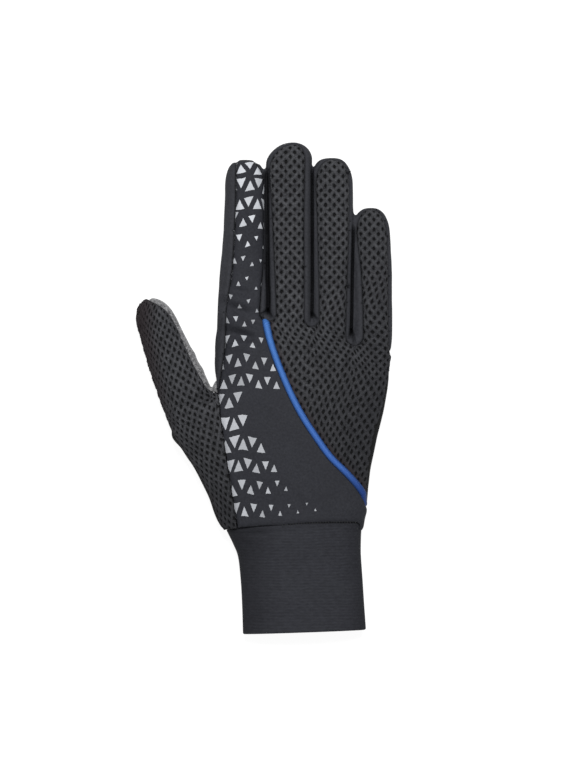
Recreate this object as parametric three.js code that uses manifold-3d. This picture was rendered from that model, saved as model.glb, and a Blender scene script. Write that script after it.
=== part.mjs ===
// Warm-water diving glove for the right hand, lying palm down with its fingers along +Y.
// The glove is sewn from shaped panels: a suede palm, two panels of open spacer mesh, a smooth
// printed back panel, gusset strips along the finger sides, a raised piping cord and a stretch cuff.
// All sizes are millimetres, +Z is up, and the palm lies on the plane z = 0.
import * as THREE from "three";
import { mergeVertices } from "three/addons/utils/BufferGeometryUtils.js";
import Module from "manifold-3d";

const wasm = await Module();
wasm.setup();

// Driving dimensions
const WALL = 1.5; // thickness of the sewn fabric
const CUFF_WALL = 1.6; // the cuff is folded double
const SEAM_GAP = 0.3; // space left between two panels at a seam
const PALM_SEAM_HEIGHT = 6.2; // the palm panel wraps up to this height all round
const PIPING_RADIUS = 1.7;
const PIPING_SINK = 0.35; // how far the piping's centre lies below the outer surface
const FLAT_SINK = 1.1; // how much of each round section is flattened where it rests
const FINGER_SIDES = 18;
const HAND_SIDES = 32;
const CUFF_SIDES = 32;
const CRUMB = 10; // mm³; a cut-off scrap smaller than this is left out
const PIPING_SIDES = 8;
const ABOVE_ALL = 60; // higher than any part of the glove
const OUTSIDE = 90; // further out than any part of the glove

// Each finger: a row for each cross-section from the hand to where the tip starts to round.
// y: place along the glove, left and right: the sides seen from above, height: thickness.
const FINGERS = {
  index: {
    sections: [
      { y: 16.0, left: -22.6, right: -0.6, height: 18.6 },
      { y: 33.5, left: -23.4, right: 1.0, height: 19.4 },
      { y: 78.5, left: -20.4, right: 0.9, height: 17.4 },
      { y: 97.0, left: -19.8, right: 0.7, height: 16.2 },
    ],
    tip: { y: 113.6, x: -9.2, squareness: 2.5 },
  },
  middle: {
    sections: [
      { y: 12.0, left: 4.6, right: 21.6, height: 19.4 },
      { y: 33.5, left: 3.8, right: 23.3, height: 20.0 },
      { y: 78.5, left: 2.3, right: 23.5, height: 18.4 },
      { y: 106.0, left: 2.0, right: 23.6, height: 17.0 },
    ],
    tip: { y: 122.5, x: 14.0, squareness: 2.5 },
  },
  ring: {
    sections: [
      { y: 8.0, left: 25.6, right: 41.4, height: 19.0 },
      { y: 33.5, left: 24.8, right: 43.8, height: 19.2 },
      { y: 78.5, left: 24.8, right: 44.2, height: 17.4 },
      { y: 98.0, left: 25.0, right: 43.6, height: 16.0 },
    ],
    tip: { y: 114.2, x: 33.0, squareness: 2.6 },
  },
  pinky: {
    sections: [
      { y: 2.0, left: 44.8, right: 60.6, height: 17.4 },
      { y: 23.5, left: 45.2, right: 63.0, height: 17.6 },
      { y: 63.5, left: 45.8, right: 63.0, height: 15.8 },
      { y: 76.0, left: 46.0, right: 62.4, height: 15.0 },
    ],
    tip: { y: 89.7, x: 53.6, squareness: 2.5 },
  },
};

// The thumb: centre of each cross-section, half its width and its height, from the hand outwards.
const THUMB = {
  sections: [
    { x: -23.0, y: -37.0, half: 10.0, height: 21.0 },
    { x: -31.8, y: -21.0, half: 13.4, height: 21.8 },
    { x: -38.8, y: -5.4, half: 13.2, height: 20.8 },
    { x: -45.4, y: 11.2, half: 11.8, height: 18.8 },
    { x: -51.6, y: 28.4, half: 10.4, height: 17.2 },
  ],
  tip: { x: -56.9, y: 43.8, squareness: 2.0 },
};

// The hand: each cross-section runs from its left point to its right point, and bows along +Y.
const HAND_SECTIONS = [
  { leftX: -19.4, leftY: -73.0, rightX: 50.0, rightY: -69.0, bow: 0.0, height: 21.6 },
  { leftX: -23.2, leftY: -69.4, rightX: 50.8, rightY: -66.0, bow: 0.0, height: 22.2 },
  { leftX: -25.0, leftY: -63.4, rightX: 51.4, rightY: -61.6, bow: 0.0, height: 22.9 },
  { leftX: -28.4, leftY: -54.0, rightX: 52.0, rightY: -54.0, bow: 0.0, height: 24.0 },
  { leftX: -33.6, leftY: -43.0, rightX: 53.2, rightY: -43.0, bow: 0.0, height: 25.2 },
  { leftX: -41.0, leftY: -31.5, rightX: 55.2, rightY: -31.5, bow: 0.0, height: 26.2 },
  { leftX: -45.6, leftY: -22.0, rightX: 56.9, rightY: -22.0, bow: 0.0, height: 26.6 },
  { leftX: -36.0, leftY: -9.0, rightX: 59.6, rightY: -10.0, bow: 0.4, height: 26.2 },
  { leftX: -26.6, leftY: 2.0, rightX: 61.4, rightY: 1.0, bow: 1.6, height: 24.8 },
  { leftX: -24.6, leftY: 14.0, rightX: 62.8, rightY: 8.0, bow: 3.4, height: 22.8 },
  { leftX: -24.2, leftY: 24.0, rightX: 63.4, rightY: 13.0, bow: 4.6, height: 21.0 },
  { leftX: -22.6, leftY: 32.0, rightX: 61.8, rightY: 16.4, bow: 6.0, height: 18.8 },
  { leftX: -20.6, leftY: 35.8, rightX: 60.0, rightY: 18.6, bow: 6.4, height: 13.6 },
];

// The cuff, from the folded hem at its mouth up to the seam with the hand.
const CUFF_SECTIONS = [
  { leftX: -10.6, leftY: -122.8, rightX: 51.0, rightY: -120.6, bow: 0.0, height: 17.6 },
  { leftX: -11.0, leftY: -109.2, rightX: 50.1, rightY: -108.0, bow: 0.0, height: 17.6 },
  { leftX: -11.7, leftY: -96.6, rightX: 49.3, rightY: -95.6, bow: 0.0, height: 18.0 },
  { leftX: -13.0, leftY: -85.0, rightX: 48.7, rightY: -84.0, bow: 0.0, height: 18.8 },
  { leftX: -15.4, leftY: -78.6, rightX: 48.9, rightY: -76.8, bow: 0.0, height: 19.6 },
  { leftX: -17.4, leftY: -74.4, rightX: 49.4, rightY: -71.6, bow: 0.0, height: 20.4 },
  { leftX: -18.9, leftY: -71.4, rightX: 50.4, rightY: -67.8, bow: 0.0, height: 21.2 },
];

// Squareness of the cross-sections: 2 is an ellipse, more is boxier
const FINGER_SECTION_POWER = 2.35;
const HAND_SECTION_POWER = 2.7;
const THUMB_SECTION_POWER = 2.2;
const CUFF_SECTION_POWER = 2.6;

// The angle in degrees where the piping's seam meets the round end of the first gusset
const PIPING_MEETS_ARC = 252;

// Where the rings of a rounded tip lie between its start (0) and its end (1)
const TIP_STEPS = [0.35, 0.65, 0.86, 0.97];

// Seam lines seen from above, as [x, y]
const PIPING_SEAM = [
  [0.9, 33.3], [2.2, 24.5], [5.3, 15.5], [8.9, 7.0], [13.8, -4.2], [19.4, -14.8], [25.7, -24.5],
  [32.7, -34.3], [41.1, -42.8], [46.7, -49.1], [50.2, -54.6], [51.4, -59.2],
];
const THUMB_SEAM = [
  [-23.4, -2.6], [-22.5, -7.3], [-21.0, -19.2], [-19.4, -31.2], [-17.0, -47.2], [-14.6, -63.1],
  [-12.6, -76.0],
];
const THUMB_TIP_SEAM = [
  [-59.0, 47.0], [-53.2, 42.4], [-48.9, 37.6], [-45.7, 32.5], [-40.9, 21.4], [-36.2, 11.0],
  [-31.4, 3.0], [-27.4, -1.4], [-23.4, -2.6],
];
const INDEX_OUTER_SEAM = [
  [-13.8, 118.0], [-14.2, 105.0], [-14.3, 91.7], [-15.1, 71.6], [-16.1, 56.2], [-18.8, 41.5],
  [-19.4, 31.5], [-20.2, 16.6], [-21.6, 4.0], [-23.4, -2.6],
];

// The gusset strip between two fingers ends at the crotch in a round U of this centre and radius
const CROTCHES = {
  index_middle: { x: 2.1, y: 37.0, radius: 3.9 },
  middle_ring: { x: 23.8, y: 34.0, radius: 3.5 },
  ring_pinky: { x: 45.3, y: 25.0, radius: 4.2 },
};

const CLOTH_BLACK = 0x2a2a2d;
const MESH_BLACK = 0x232326;
const SUEDE_GREY = 0x8f9092;
const PIPING_BLUE = 0x2f62c4;
const CUFF_BLACK = 0x303136;

// Loft: closed rings of points along a row of cross-sections

function power(value, exponent) {
  return Math.sign(value) * Math.abs(value) ** exponent;
}

// One ring of a superellipse cross-section, flattened where it rests.
// inset is 0 for the outer surface and the wall thickness for the inner one.
function ring(section, sides, squareness, inset) {
  const across = new THREE.Vector2(section.right[0] - section.left[0], section.right[1] - section.left[1]);
  const half = across.length() / 2 - inset;
  across.normalize();
  const middleX = (section.left[0] + section.right[0]) / 2;
  const middleY = (section.left[1] + section.right[1]) / 2;
  const top = section.height - inset;
  const bottom = (section.floor ?? 0) + inset - FLAT_SINK;
  const points = [];
  for (let i = 0; i < sides; i += 1) {
    const angle = (2 * Math.PI * i) / sides;
    const sideways = power(Math.cos(angle), 2 / squareness);
    const upwards = power(Math.sin(angle), 2 / squareness);
    const bow = section.bow * (1 - sideways * sideways);
    const z = (top + bottom) / 2 + ((top - bottom) / 2) * upwards;
    points.push(new THREE.Vector3(
      middleX + across.x * half * sideways,
      middleY + across.y * half * sideways + bow,
      Math.max(z, inset),
    ));
  }
  return points;
}

// A closed geometry through rings of equal length. Each end is closed by a ladder of quads
// between the upper and the lower half of its ring, so a bowed end keeps its bow.
function loft(rings) {
  const sides = rings[0].length;
  const positions = [];
  const put = (...corners) => corners.forEach((p) => positions.push(p.x, p.y, p.z));
  for (let r = 0; r + 1 < rings.length; r += 1) {
    for (let i = 0; i < sides; i += 1) {
      const j = (i + 1) % sides;
      const [a, b, c, d] = [rings[r][i], rings[r][j], rings[r + 1][j], rings[r + 1][i]];
      put(a, c, b);
      put(a, d, c);
    }
  }
  const first = rings[0];
  const last = rings.at(-1);
  for (let i = 0; i < sides / 2; i += 1) {
    const next = i + 1;
    const below = (sides - i) % sides;
    const nextBelow = sides - next;
    if (next !== nextBelow) {
      put(first[i], first[next], first[nextBelow]);
      put(last[i], last[nextBelow], last[next]);
    }
    if (i !== below) {
      put(first[i], first[nextBelow], first[below]);
      put(last[i], last[below], last[nextBelow]);
    }
  }
  const geometry = new THREE.BufferGeometry();
  geometry.setAttribute("position", new THREE.Float32BufferAttribute(positions, 3));
  return geometry;
}

// The rings that close a finger: they shrink like a superellipse of the tip's squareness.
function tipSections(start, tip, alongX, alongY) {
  const startX = (start.left[0] + start.right[0]) / 2;
  const startY = (start.left[1] + start.right[1]) / 2;
  const halfX = (start.right[0] - start.left[0]) / 2;
  const halfY = (start.right[1] - start.left[1]) / 2;
  const middle = start.height / 2;
  return TIP_STEPS.map((step) => {
    const size = (1 - step ** tip.squareness) ** (1 / tip.squareness);
    const x = startX + (alongX - startX) * step;
    const y = startY + (alongY - startY) * step;
    return {
      left: [x - halfX * size, y - halfY * size],
      right: [x + halfX * size, y + halfY * size],
      bow: 0,
      height: middle + (start.height - middle) * size,
      floor: middle * (1 - size) * 0.8,
    };
  });
}

function fingerGeometry(finger, inset) {
  const shaft = finger.sections.map((row) => ({
    left: [row.left, row.y], right: [row.right, row.y], bow: 0, height: row.height,
  }));
  const tip = tipSections(shaft[shaft.length - 1], finger.tip, finger.tip.x, finger.tip.y - inset);
  return loft([...shaft, ...tip].map((s) => ring(s, FINGER_SIDES, FINGER_SECTION_POWER, shrink(s, inset))));
}

// A tip ring that is nearly closed can't give up the whole wall thickness.
function shrink(section, inset) {
  const width = Math.hypot(section.right[0] - section.left[0], section.right[1] - section.left[1]);
  return Math.min(inset, width * 0.4);
}

function thumbGeometry(inset) {
  const rows = THUMB.sections;
  const shaft = rows.map((row, i) => {
    const before = rows[Math.max(i - 1, 0)];
    const after = rows[i + 1] ?? THUMB.tip;
    const along = new THREE.Vector2(after.x - before.x, after.y - before.y).normalize();
    return {
      left: [row.x - along.y * row.half, row.y + along.x * row.half],
      right: [row.x + along.y * row.half, row.y - along.x * row.half],
      bow: 0,
      height: row.height,
    };
  });
  const last = rows[rows.length - 1];
  const out = new THREE.Vector2(THUMB.tip.x - last.x, THUMB.tip.y - last.y).normalize();
  const tip = tipSections(
    shaft[shaft.length - 1], THUMB.tip, THUMB.tip.x - out.x * inset, THUMB.tip.y - out.y * inset,
  );
  return loft([...shaft, ...tip].map((s) => ring(s, FINGER_SIDES, THUMB_SECTION_POWER, shrink(s, inset))));
}

function bandGeometry(table, sides, squareness, inset, lengthen) {
  const sections = table.map((row) => ({
    left: [row.leftX, row.leftY], right: [row.rightX, row.rightY], bow: row.bow, height: row.height,
  }));
  const first = sections[0];
  const last = sections[sections.length - 1];
  first.left[1] += lengthen.first;
  first.right[1] += lengthen.first;
  last.left[1] += lengthen.last;
  last.right[1] += lengthen.last;
  return loft(sections.map((s) => ring(s, sides, squareness, inset)));
}

// Solids: joining and cutting

function solid(geometry) {
  const bare = geometry.index ? geometry.toNonIndexed() : geometry.clone();
  for (const name of Object.keys(bare.attributes)) {
    if (name !== "position") bare.deleteAttribute(name);
  }
  const merged = mergeVertices(bare, 1e-4);
  const made = new wasm.Manifold(new wasm.Mesh({
    numProp: 3,
    vertProperties: merged.attributes.position.array,
    triVerts: new Uint32Array(merged.index.array),
  }));
  return made;
}

function geometryOf(manifold) {
  const mesh = manifold.getMesh();
  const positions = new Float32Array(mesh.numVert * 3);
  for (let i = 0; i < mesh.numVert; i += 1) {
    positions.set(mesh.vertProperties.subarray(i * mesh.numProp, i * mesh.numProp + 3), i * 3);
  }
  const geometry = new THREE.BufferGeometry();
  geometry.setAttribute("position", new THREE.BufferAttribute(positions, 3));
  geometry.setIndex(new THREE.BufferAttribute(new Uint32Array(mesh.triVerts), 1));
  geometry.computeVertexNormals();
  return geometry;
}

// A wall of constant plan, from one height to another, over an outline seen from above.
function prism(outline, low, high) {
  const shape = new THREE.Shape(outline.map(([x, y]) => new THREE.Vector2(x, y)));
  const geometry = new THREE.ExtrudeGeometry(shape, { depth: high - low, bevelEnabled: false });
  geometry.translate(0, 0, low);
  return solid(geometry);
}

// The line moved sideways by a distance, with mitred corners. A loop joins its ends.
function offsetLine(line, distance, loop) {
  const points = line.map(([x, y]) => new THREE.Vector2(x, y));
  const count = points.length;
  const direction = (i) => {
    const wrapped = loop ? (i + count) % count : Math.min(Math.max(i, 0), count - 2);
    return points[(wrapped + 1) % count].clone().sub(points[wrapped]).normalize();
  };
  return points.map((point, i) => {
    const before = direction(i - 1);
    const along = before.clone().add(direction(i)).normalize();
    const stretch = distance / Math.max(along.dot(before), 0.5);
    return [point.x - along.y * stretch, point.y + along.x * stretch];
  });
}

// A thin upright blade along a line or round a loop seen from above, which cuts the seam gap.
function blade(line, width, loop = false) {
  const one = offsetLine(line, width / 2, loop);
  const other = offsetLine(line, -width / 2, loop);
  if (!loop) return prism([...one, ...other.reverse()], -1, ABOVE_ALL);
  const area = (outline) => Math.abs(THREE.ShapeUtils.area(outline.map(([x, y]) => ({ x, y }))));
  const [outer, inner] = area(one) > area(other) ? [one, other] : [other, one];
  return prism(outer, -1, ABOVE_ALL).subtract(prism(inner, -2, ABOVE_ALL + 1));
}

function smooth(line, divisions) {
  const curve = new THREE.SplineCurve(line.map(([x, y]) => new THREE.Vector2(x, y)));
  return curve.getPoints(divisions).map((p) => [p.x, p.y]);
}

// Part of the round end of a gusset, between two angles given in degrees.
function crotchArc({ x, y, radius }, from, to) {
  const steps = Math.ceil((to - from) / 30);
  return Array.from({ length: steps + 1 }, (_, i) => {
    const angle = THREE.MathUtils.degToRad(from + ((to - from) * i) / steps);
    return [x + radius * Math.cos(angle), y + radius * Math.sin(angle)];
  });
}

// The glove's outer form, and the hollow inside it

function gloveForm(inset, lengthen) {
  const pieces = [
    bandGeometry(HAND_SECTIONS, HAND_SIDES, HAND_SECTION_POWER, inset, lengthen),
    thumbGeometry(inset),
    ...Object.values(FINGERS).map((finger) => fingerGeometry(finger, inset)),
  ];
  return pieces.map(solid).reduce((sum, piece) => sum.add(piece));
}

const outerForm = gloveForm(0, { first: 0, last: 0 });
const innerForm = gloveForm(WALL, { first: -20, last: -WALL });
const cuffSeam = CUFF_SECTIONS.at(-1);
const handSide = prism([
  [cuffSeam.leftX - 40, cuffSeam.leftY - 40 * 0.053 + SEAM_GAP],
  [cuffSeam.rightX + 40, cuffSeam.rightY + 40 * 0.053 + SEAM_GAP],
  [OUTSIDE, OUTSIDE * 2], [-OUTSIDE, OUTSIDE * 2],
], -1, ABOVE_ALL);
const shell = outerForm.subtract(innerForm).intersect(handSide);

// Panel outlines seen from above. Each follows its seams, and outside the glove it runs clear of it.

const pipingLine = smooth(PIPING_SEAM, 22);
const thumbLine = smooth(THUMB_SEAM, 10);

// Up the inner side of the middle finger, round the three fingertips and down the outer side of
// the little finger. At each fingertip the seam turns out to the side, where the gusset ends.
const knuckleOutline = [
  ...crotchArc(CROTCHES.index_middle, PIPING_MEETS_ARC, 360),
  [4.8, 53.0], [4.4, 80.0], [4.4, 108.0], [1.2, 112.5], [1.2, 126.0],
  [24.0, 126.0], [24.0, 113.0], [20.4, 108.5], [20.3, 80.0], [20.3, 50.0],
  ...crotchArc(CROTCHES.middle_ring, 180, 360),
  [26.9, 60.0], [26.8, 85.0], [26.9, 100.0], [24.4, 104.5], [24.4, 118.0],
  [45.2, 118.0], [45.2, 104.5], [42.0, 100.5], [42.0, 80.0], [41.8, 60.0], [41.3, 40.0],
  ...crotchArc(CROTCHES.ring_pinky, 180, 360),
  [49.1, 45.0], [48.0, 65.0], [47.8, 77.5], [45.4, 81.5], [45.4, 94.0],
  [66.0, 94.0], [66.0, 84.0], [60.6, 79.0], [61.2, 60.0], [61.4, 40.0], [61.2, 24.0], [66.0, 13.0],
  [OUTSIDE, 10.0], [OUTSIDE, -60.4], [54.0, -60.4],
  ...pipingLine.slice(1).reverse(),
];

// Up the outer side of the index finger, over its tip, down to the crotch and along the piping.
const printOutline = [
  ...pipingLine,
  [54.0, -60.4], [OUTSIDE, -60.6], [OUTSIDE, -82.0], [-11.6, -82.0],
  ...[...thumbLine].reverse(),
  ...[...INDEX_OUTER_SEAM].slice(0, -1).reverse(),
  [0.9, 118.0], [0.9, 102.5], [-1.6, 98.5], [-1.4, 80.0], [-1.4, 55.0],
  ...crotchArc(CROTCHES.index_middle, 180, PIPING_MEETS_ARC).slice(0, -1),
];

const thumbOutline = [
  ...THUMB_TIP_SEAM,
  ...thumbLine.slice(1),
  [-11.6, -82.0], [-OUTSIDE, -82.0], [-OUTSIDE, 47.0],
];

// The suede of the palm comes up over the inner side of the thumb as far as the mesh.
const thumbInnerOutline = [
  ...THUMB_TIP_SEAM.slice(0, -1),
  [-24.9, -2.4], [-25.4, 2.0], [-28.0, 9.0], [-28.0, 47.0],
];

// Piping: a round cord laid in the seam between the two back panels

function heightAt(geometry, x, y) {
  const caster = new THREE.Raycaster(new THREE.Vector3(x, y, ABOVE_ALL), new THREE.Vector3(0, 0, -1));
  const hits = caster.intersectObject(new THREE.Mesh(geometry));
  return hits.length ? hits[0].point.z : null;
}

const outerGeometry = geometryOf(outerForm);
const pipingPath = smooth(PIPING_SEAM, 22)
  .slice(0, -1)
  .map(([x, y]) => new THREE.Vector3(x, y, heightAt(outerGeometry, x, y) - PIPING_SINK));

function cordAlong(points, radius) {
  const section = new THREE.Shape(Array.from({ length: PIPING_SIDES }, (_, i) => {
    const angle = (2 * Math.PI * i) / PIPING_SIDES;
    return new THREE.Vector2(radius * Math.cos(angle), radius * Math.sin(angle));
  }));
  const path = new THREE.CatmullRomCurve3(points);
  return solid(new THREE.ExtrudeGeometry(section, {
    steps: points.length, extrudePath: path, bevelEnabled: false,
  }));
}

const piping = cordAlong(pipingPath, PIPING_RADIUS);
const startOut = pipingPath[0].clone().sub(pipingPath[1]).setLength(SEAM_GAP);
const endOut = pipingPath.at(-1).clone().sub(pipingPath.at(-2)).setLength(SEAM_GAP);
const groove = cordAlong([
  pipingPath[0].clone().add(startOut), ...pipingPath.slice(1, -1), pipingPath.at(-1).clone().add(endOut),
], PIPING_RADIUS + SEAM_GAP);

// Panels

const palmCut = prism(
  [[-OUTSIDE, -OUTSIDE * 2], [OUTSIDE, -OUTSIDE * 2], [OUTSIDE, OUTSIDE * 2], [-OUTSIDE, OUTSIDE * 2]],
  PALM_SEAM_HEIGHT - SEAM_GAP / 2, PALM_SEAM_HEIGHT + SEAM_GAP / 2,
);
const lowerHalf = prism(
  [[-OUTSIDE, -OUTSIDE * 2], [OUTSIDE, -OUTSIDE * 2], [OUTSIDE, OUTSIDE * 2], [-OUTSIDE, OUTSIDE * 2]],
  -1, PALM_SEAM_HEIGHT,
);
const thumbInner = prism(thumbInnerOutline, -1, ABOVE_ALL);
const upper = shell
  .subtract(lowerHalf)
  .subtract(palmCut)
  .subtract(thumbInner)
  .subtract(groove);

// Of a solid cut into several, the largest; crumbs are left out.
function largest(manifold) {
  return manifold.decompose().reduce((best, piece) => (piece.volume() > best.volume() ? piece : best));
}

const seams = [knuckleOutline, printOutline, thumbOutline]
  .map((outline) => blade(outline, SEAM_GAP, true))
  .reduce((sum, piece) => sum.add(piece));
const cutUpper = upper.subtract(seams);

const knuckleRegion = prism(knuckleOutline, -1, ABOVE_ALL);
const printRegion = prism(printOutline, -1, ABOVE_ALL);
const thumbRegion = prism(thumbOutline, -1, ABOVE_ALL);
const knucklePanel = largest(cutUpper.intersect(knuckleRegion));
const printPanel = largest(cutUpper.intersect(printRegion));
const thumbPanel = largest(cutUpper.intersect(thumbRegion));

// What is left of the upper half is the gusset strips along the sides of the fingers
const strips = cutUpper
  .subtract(knuckleRegion).subtract(printRegion).subtract(thumbRegion)
  .decompose()
  .filter((piece) => piece.volume() > CRUMB)
  .sort((a, b) => a.boundingBox().min[0] - b.boundingBox().min[0]);
const STRIP_NAMES = [
  "index_side_gusset", "index_middle_gusset", "middle_ring_gusset", "ring_pinky_gusset", "pinky_side_gusset",
];

const thumbInnerShell = shell
  .intersect(thumbInner)
  .subtract(blade(THUMB_TIP_SEAM, SEAM_GAP))
  .subtract(blade([[-24.9, -2.4], [-25.4, 2.0], [-28.0, 9.0]], SEAM_GAP));
const palmPanel = largest(shell.intersect(lowerHalf).subtract(palmCut).add(thumbInnerShell));

// Cuff: a flattened sleeve, open at both ends

const cuffOuter = solid(bandGeometry(
  CUFF_SECTIONS, CUFF_SIDES, CUFF_SECTION_POWER, 0, { first: 0, last: 0 },
));
const cuffInner = solid(bandGeometry(
  CUFF_SECTIONS, CUFF_SIDES, CUFF_SECTION_POWER, CUFF_WALL, { first: -5, last: 5 },
));
const cuff = cuffOuter.subtract(cuffInner);

// Assembly

const glove = new THREE.Group();
glove.name = "diving_glove";

function addPart(name, manifold, color, roughness) {
  const material = new THREE.MeshStandardMaterial({ color, roughness, metalness: 0 });
  const part = new THREE.Mesh(geometryOf(manifold), material);
  part.name = name;
  glove.add(part);
}

addPart("palm_panel", palmPanel, SUEDE_GREY, 0.95);
addPart("print_panel", printPanel, CLOTH_BLACK, 0.75);
addPart("knuckle_mesh_panel", knucklePanel, MESH_BLACK, 0.9);
addPart("thumb_mesh_panel", thumbPanel, MESH_BLACK, 0.9);
strips.forEach((strip, i) => addPart(STRIP_NAMES[i], strip, CLOTH_BLACK, 0.75));
addPart("piping", piping, PIPING_BLUE, 0.6);
addPart("cuff", cuff, CUFF_BLACK, 0.8);

export default glove;
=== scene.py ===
import bmesh
import bpy
import numpy as np
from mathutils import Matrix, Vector, noise
from mathutils.bvhtree import BVHTree
from mathutils.kdtree import KDTree


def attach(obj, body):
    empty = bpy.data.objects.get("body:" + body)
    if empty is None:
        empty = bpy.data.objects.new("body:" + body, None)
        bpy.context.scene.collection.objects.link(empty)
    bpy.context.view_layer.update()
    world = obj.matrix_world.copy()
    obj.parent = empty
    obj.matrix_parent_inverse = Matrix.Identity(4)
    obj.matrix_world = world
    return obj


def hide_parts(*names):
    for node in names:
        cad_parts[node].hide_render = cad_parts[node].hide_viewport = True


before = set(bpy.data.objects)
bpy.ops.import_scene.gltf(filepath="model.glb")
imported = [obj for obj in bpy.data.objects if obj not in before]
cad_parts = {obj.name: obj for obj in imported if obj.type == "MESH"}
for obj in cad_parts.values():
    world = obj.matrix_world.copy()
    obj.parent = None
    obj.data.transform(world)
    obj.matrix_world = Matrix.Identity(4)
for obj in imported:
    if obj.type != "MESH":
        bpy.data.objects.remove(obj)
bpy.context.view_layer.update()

MM = 0.001
scene = bpy.context.scene


# The camera looks straight down on the back of the hand through a long lens. The picture is
# 384 mm high where the glove lies, and its middle is a little to the right of the glove's.

VIEW_HEIGHT = 3.0
PICTURE_HEIGHT = 0.384
PICTURE_CENTRE = (0.012, 0.0015)
SHARP_PLANE = 0.009
SENSOR = 36.0


def placed(name, data):
    """A new object of the scene that shows some data."""
    obj = bpy.data.objects.new(name, data)
    scene.collection.objects.link(obj)
    return obj


camera_data = bpy.data.cameras.new("camera")
camera_data.sensor_fit = "VERTICAL"
camera_data.sensor_height = SENSOR
camera_data.lens = SENSOR * (VIEW_HEIGHT - SHARP_PLANE) / PICTURE_HEIGHT
camera_data.clip_start = 0.05
camera_data.clip_end = 20.0
camera = placed("camera", camera_data)
camera.location = (*PICTURE_CENTRE, VIEW_HEIGHT)
scene.camera = camera
scene.view_settings.view_transform = "Standard"


# The form is the shape that the sewn panels have together once the glove is puffed out: four
# fingers, a thumb and the hand. Nothing of it is left at the end, as every panel is cut from it.

FLAT_SINK = 1.1
FORM_SIDES = 72
FORM_VOXEL = 0.75
FINGER_POWER, HAND_POWER, THUMB_POWER = 2.7, 2.6, 2.1
FINGER_STEPS, HAND_STEPS = 10, 8
TIP_RINGS, TIP_END, TIP_LIFT = 12, 0.999, 0.8
SMOOTH_ROUNDS, WEB_SMOOTH_ROUNDS = 6, 24

# y along the glove, the left and right side seen from above, and the thickness
FINGERS = {
    "index": {
        "sections": [
            (16.0, -22.6, -0.6, 18.6), (33.5, -23.4, 1.8, 19.4), (53.5, -22.1, 1.9, 18.8),
            (78.5, -20.4, 1.5, 17.4), (97.0, -19.6, 1.5, 16.2),
        ],
        "tip": (-9.1, 113.5), "tip_power": 2.8,
    },
    "middle": {
        "sections": [
            (12.0, 4.6, 21.6, 19.4), (33.5, 2.4, 24.0, 20.0), (53.5, 1.6, 24.2, 19.3),
            (78.5, 1.2, 24.1, 18.4), (98.0, 1.0, 24.1, 17.4), (112.0, 0.8, 24.0, 16.0),
        ],
        "tip": (14.6, 122.5), "tip_power": 2.0,
    },
    "ring": {
        "sections": [
            (8.0, 25.6, 41.4, 19.0), (33.5, 23.8, 44.2, 19.2), (53.5, 23.9, 44.5, 18.4),
            (78.5, 24.0, 45.1, 17.4), (99.0, 24.2, 44.6, 16.0),
        ],
        "tip": (33.5, 114.8), "tip_power": 2.8,
    },
    "pinky": {
        "sections": [
            (2.0, 44.8, 61.4, 17.4), (23.5, 44.0, 63.9, 17.6), (43.5, 44.1, 64.1, 16.8),
            (63.5, 44.3, 63.8, 15.8), (76.0, 44.5, 63.1, 15.0),
        ],
        "tip": (53.1, 89.9), "tip_power": 2.5,
    },
}

# centre x and y, half the width and the thickness, from inside the hand outwards
THUMB = {
    "sections": [
        (-23.0, -37.0, 10.0, 21.0), (-31.8, -21.0, 13.4, 21.8), (-38.8, -5.4, 13.2, 20.8),
        (-45.2, 11.2, 12.0, 18.8), (-52.0, 28.3, 10.4, 17.2),
    ],
    "tip": (-58.8, 43.7), "tip_power": 2.1,
}

# left x, left y, right x, right y, bow towards the fingers, thickness
HAND = [
    (-17.6, -75.0, 49.2, -75.4, 0.0, 21.4), (-22.2, -69.4, 50.2, -67.0, 0.0, 22.2),
    (-25.0, -63.4, 51.4, -61.6, 0.0, 22.9), (-28.4, -54.0, 52.0, -54.0, 0.0, 24.0),
    (-33.6, -43.0, 53.4, -43.0, 0.0, 25.2), (-41.2, -31.5, 55.6, -31.5, 0.0, 26.2),
    (-46.2, -22.0, 57.8, -22.0, 0.0, 26.6), (-33.0, -9.0, 60.7, -10.0, 0.4, 26.2),
    (-25.2, 1.0, 62.3, 1.0, 1.6, 24.8), (-24.8, 14.0, 62.8, 8.0, 3.4, 22.8),
    (-24.2, 24.0, 63.4, 13.0, 4.6, 21.0), (-22.6, 32.0, 61.8, 16.4, 6.0, 18.8),
    (-20.6, 35.8, 60.0, 18.6, 6.4, 13.6),
]


def signed_power(value, exponent):
    return np.sign(value) * np.abs(value) ** exponent


def smooth_rows(table, steps):
    """The table with steps rows for each gap, on a Catmull-Rom curve through its rows."""
    rows = np.array(table, float)
    padded = np.vstack([2 * rows[0] - rows[1], rows, 2 * rows[-1] - rows[-2]])
    t = (np.arange(steps) / steps)[:, None]
    parts = []
    for p0, p1, p2, p3 in zip(padded, padded[1:], padded[2:], padded[3:]):
        parts.append(0.5 * (
            2 * p1 + (p2 - p0) * t + (2 * p0 - 5 * p1 + 4 * p2 - p3) * t ** 2
            + (3 * p1 - p0 - 3 * p2 + p3) * t ** 3
        ))
    return np.vstack([*parts, rows[-1:]])


def ring(left, right, height, power, bow=0.0, floor=0.0):
    """A closed ring of points: a superellipse, flattened where it rests."""
    angle = np.arange(FORM_SIDES) * 2 * np.pi / FORM_SIDES
    sideways = signed_power(np.cos(angle), 2 / power)
    upwards = signed_power(np.sin(angle), 2 / power)
    left, right = np.array(left, float), np.array(right, float)
    plan = (left + right) / 2 + np.outer(sideways, (right - left) / 2)
    plan[:, 1] += bow * (1 - sideways ** 2)
    bottom = floor - FLAT_SINK
    z = (height + bottom) / 2 + (height - bottom) / 2 * upwards
    return np.column_stack([plan, np.maximum(z, 0)])


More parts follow.
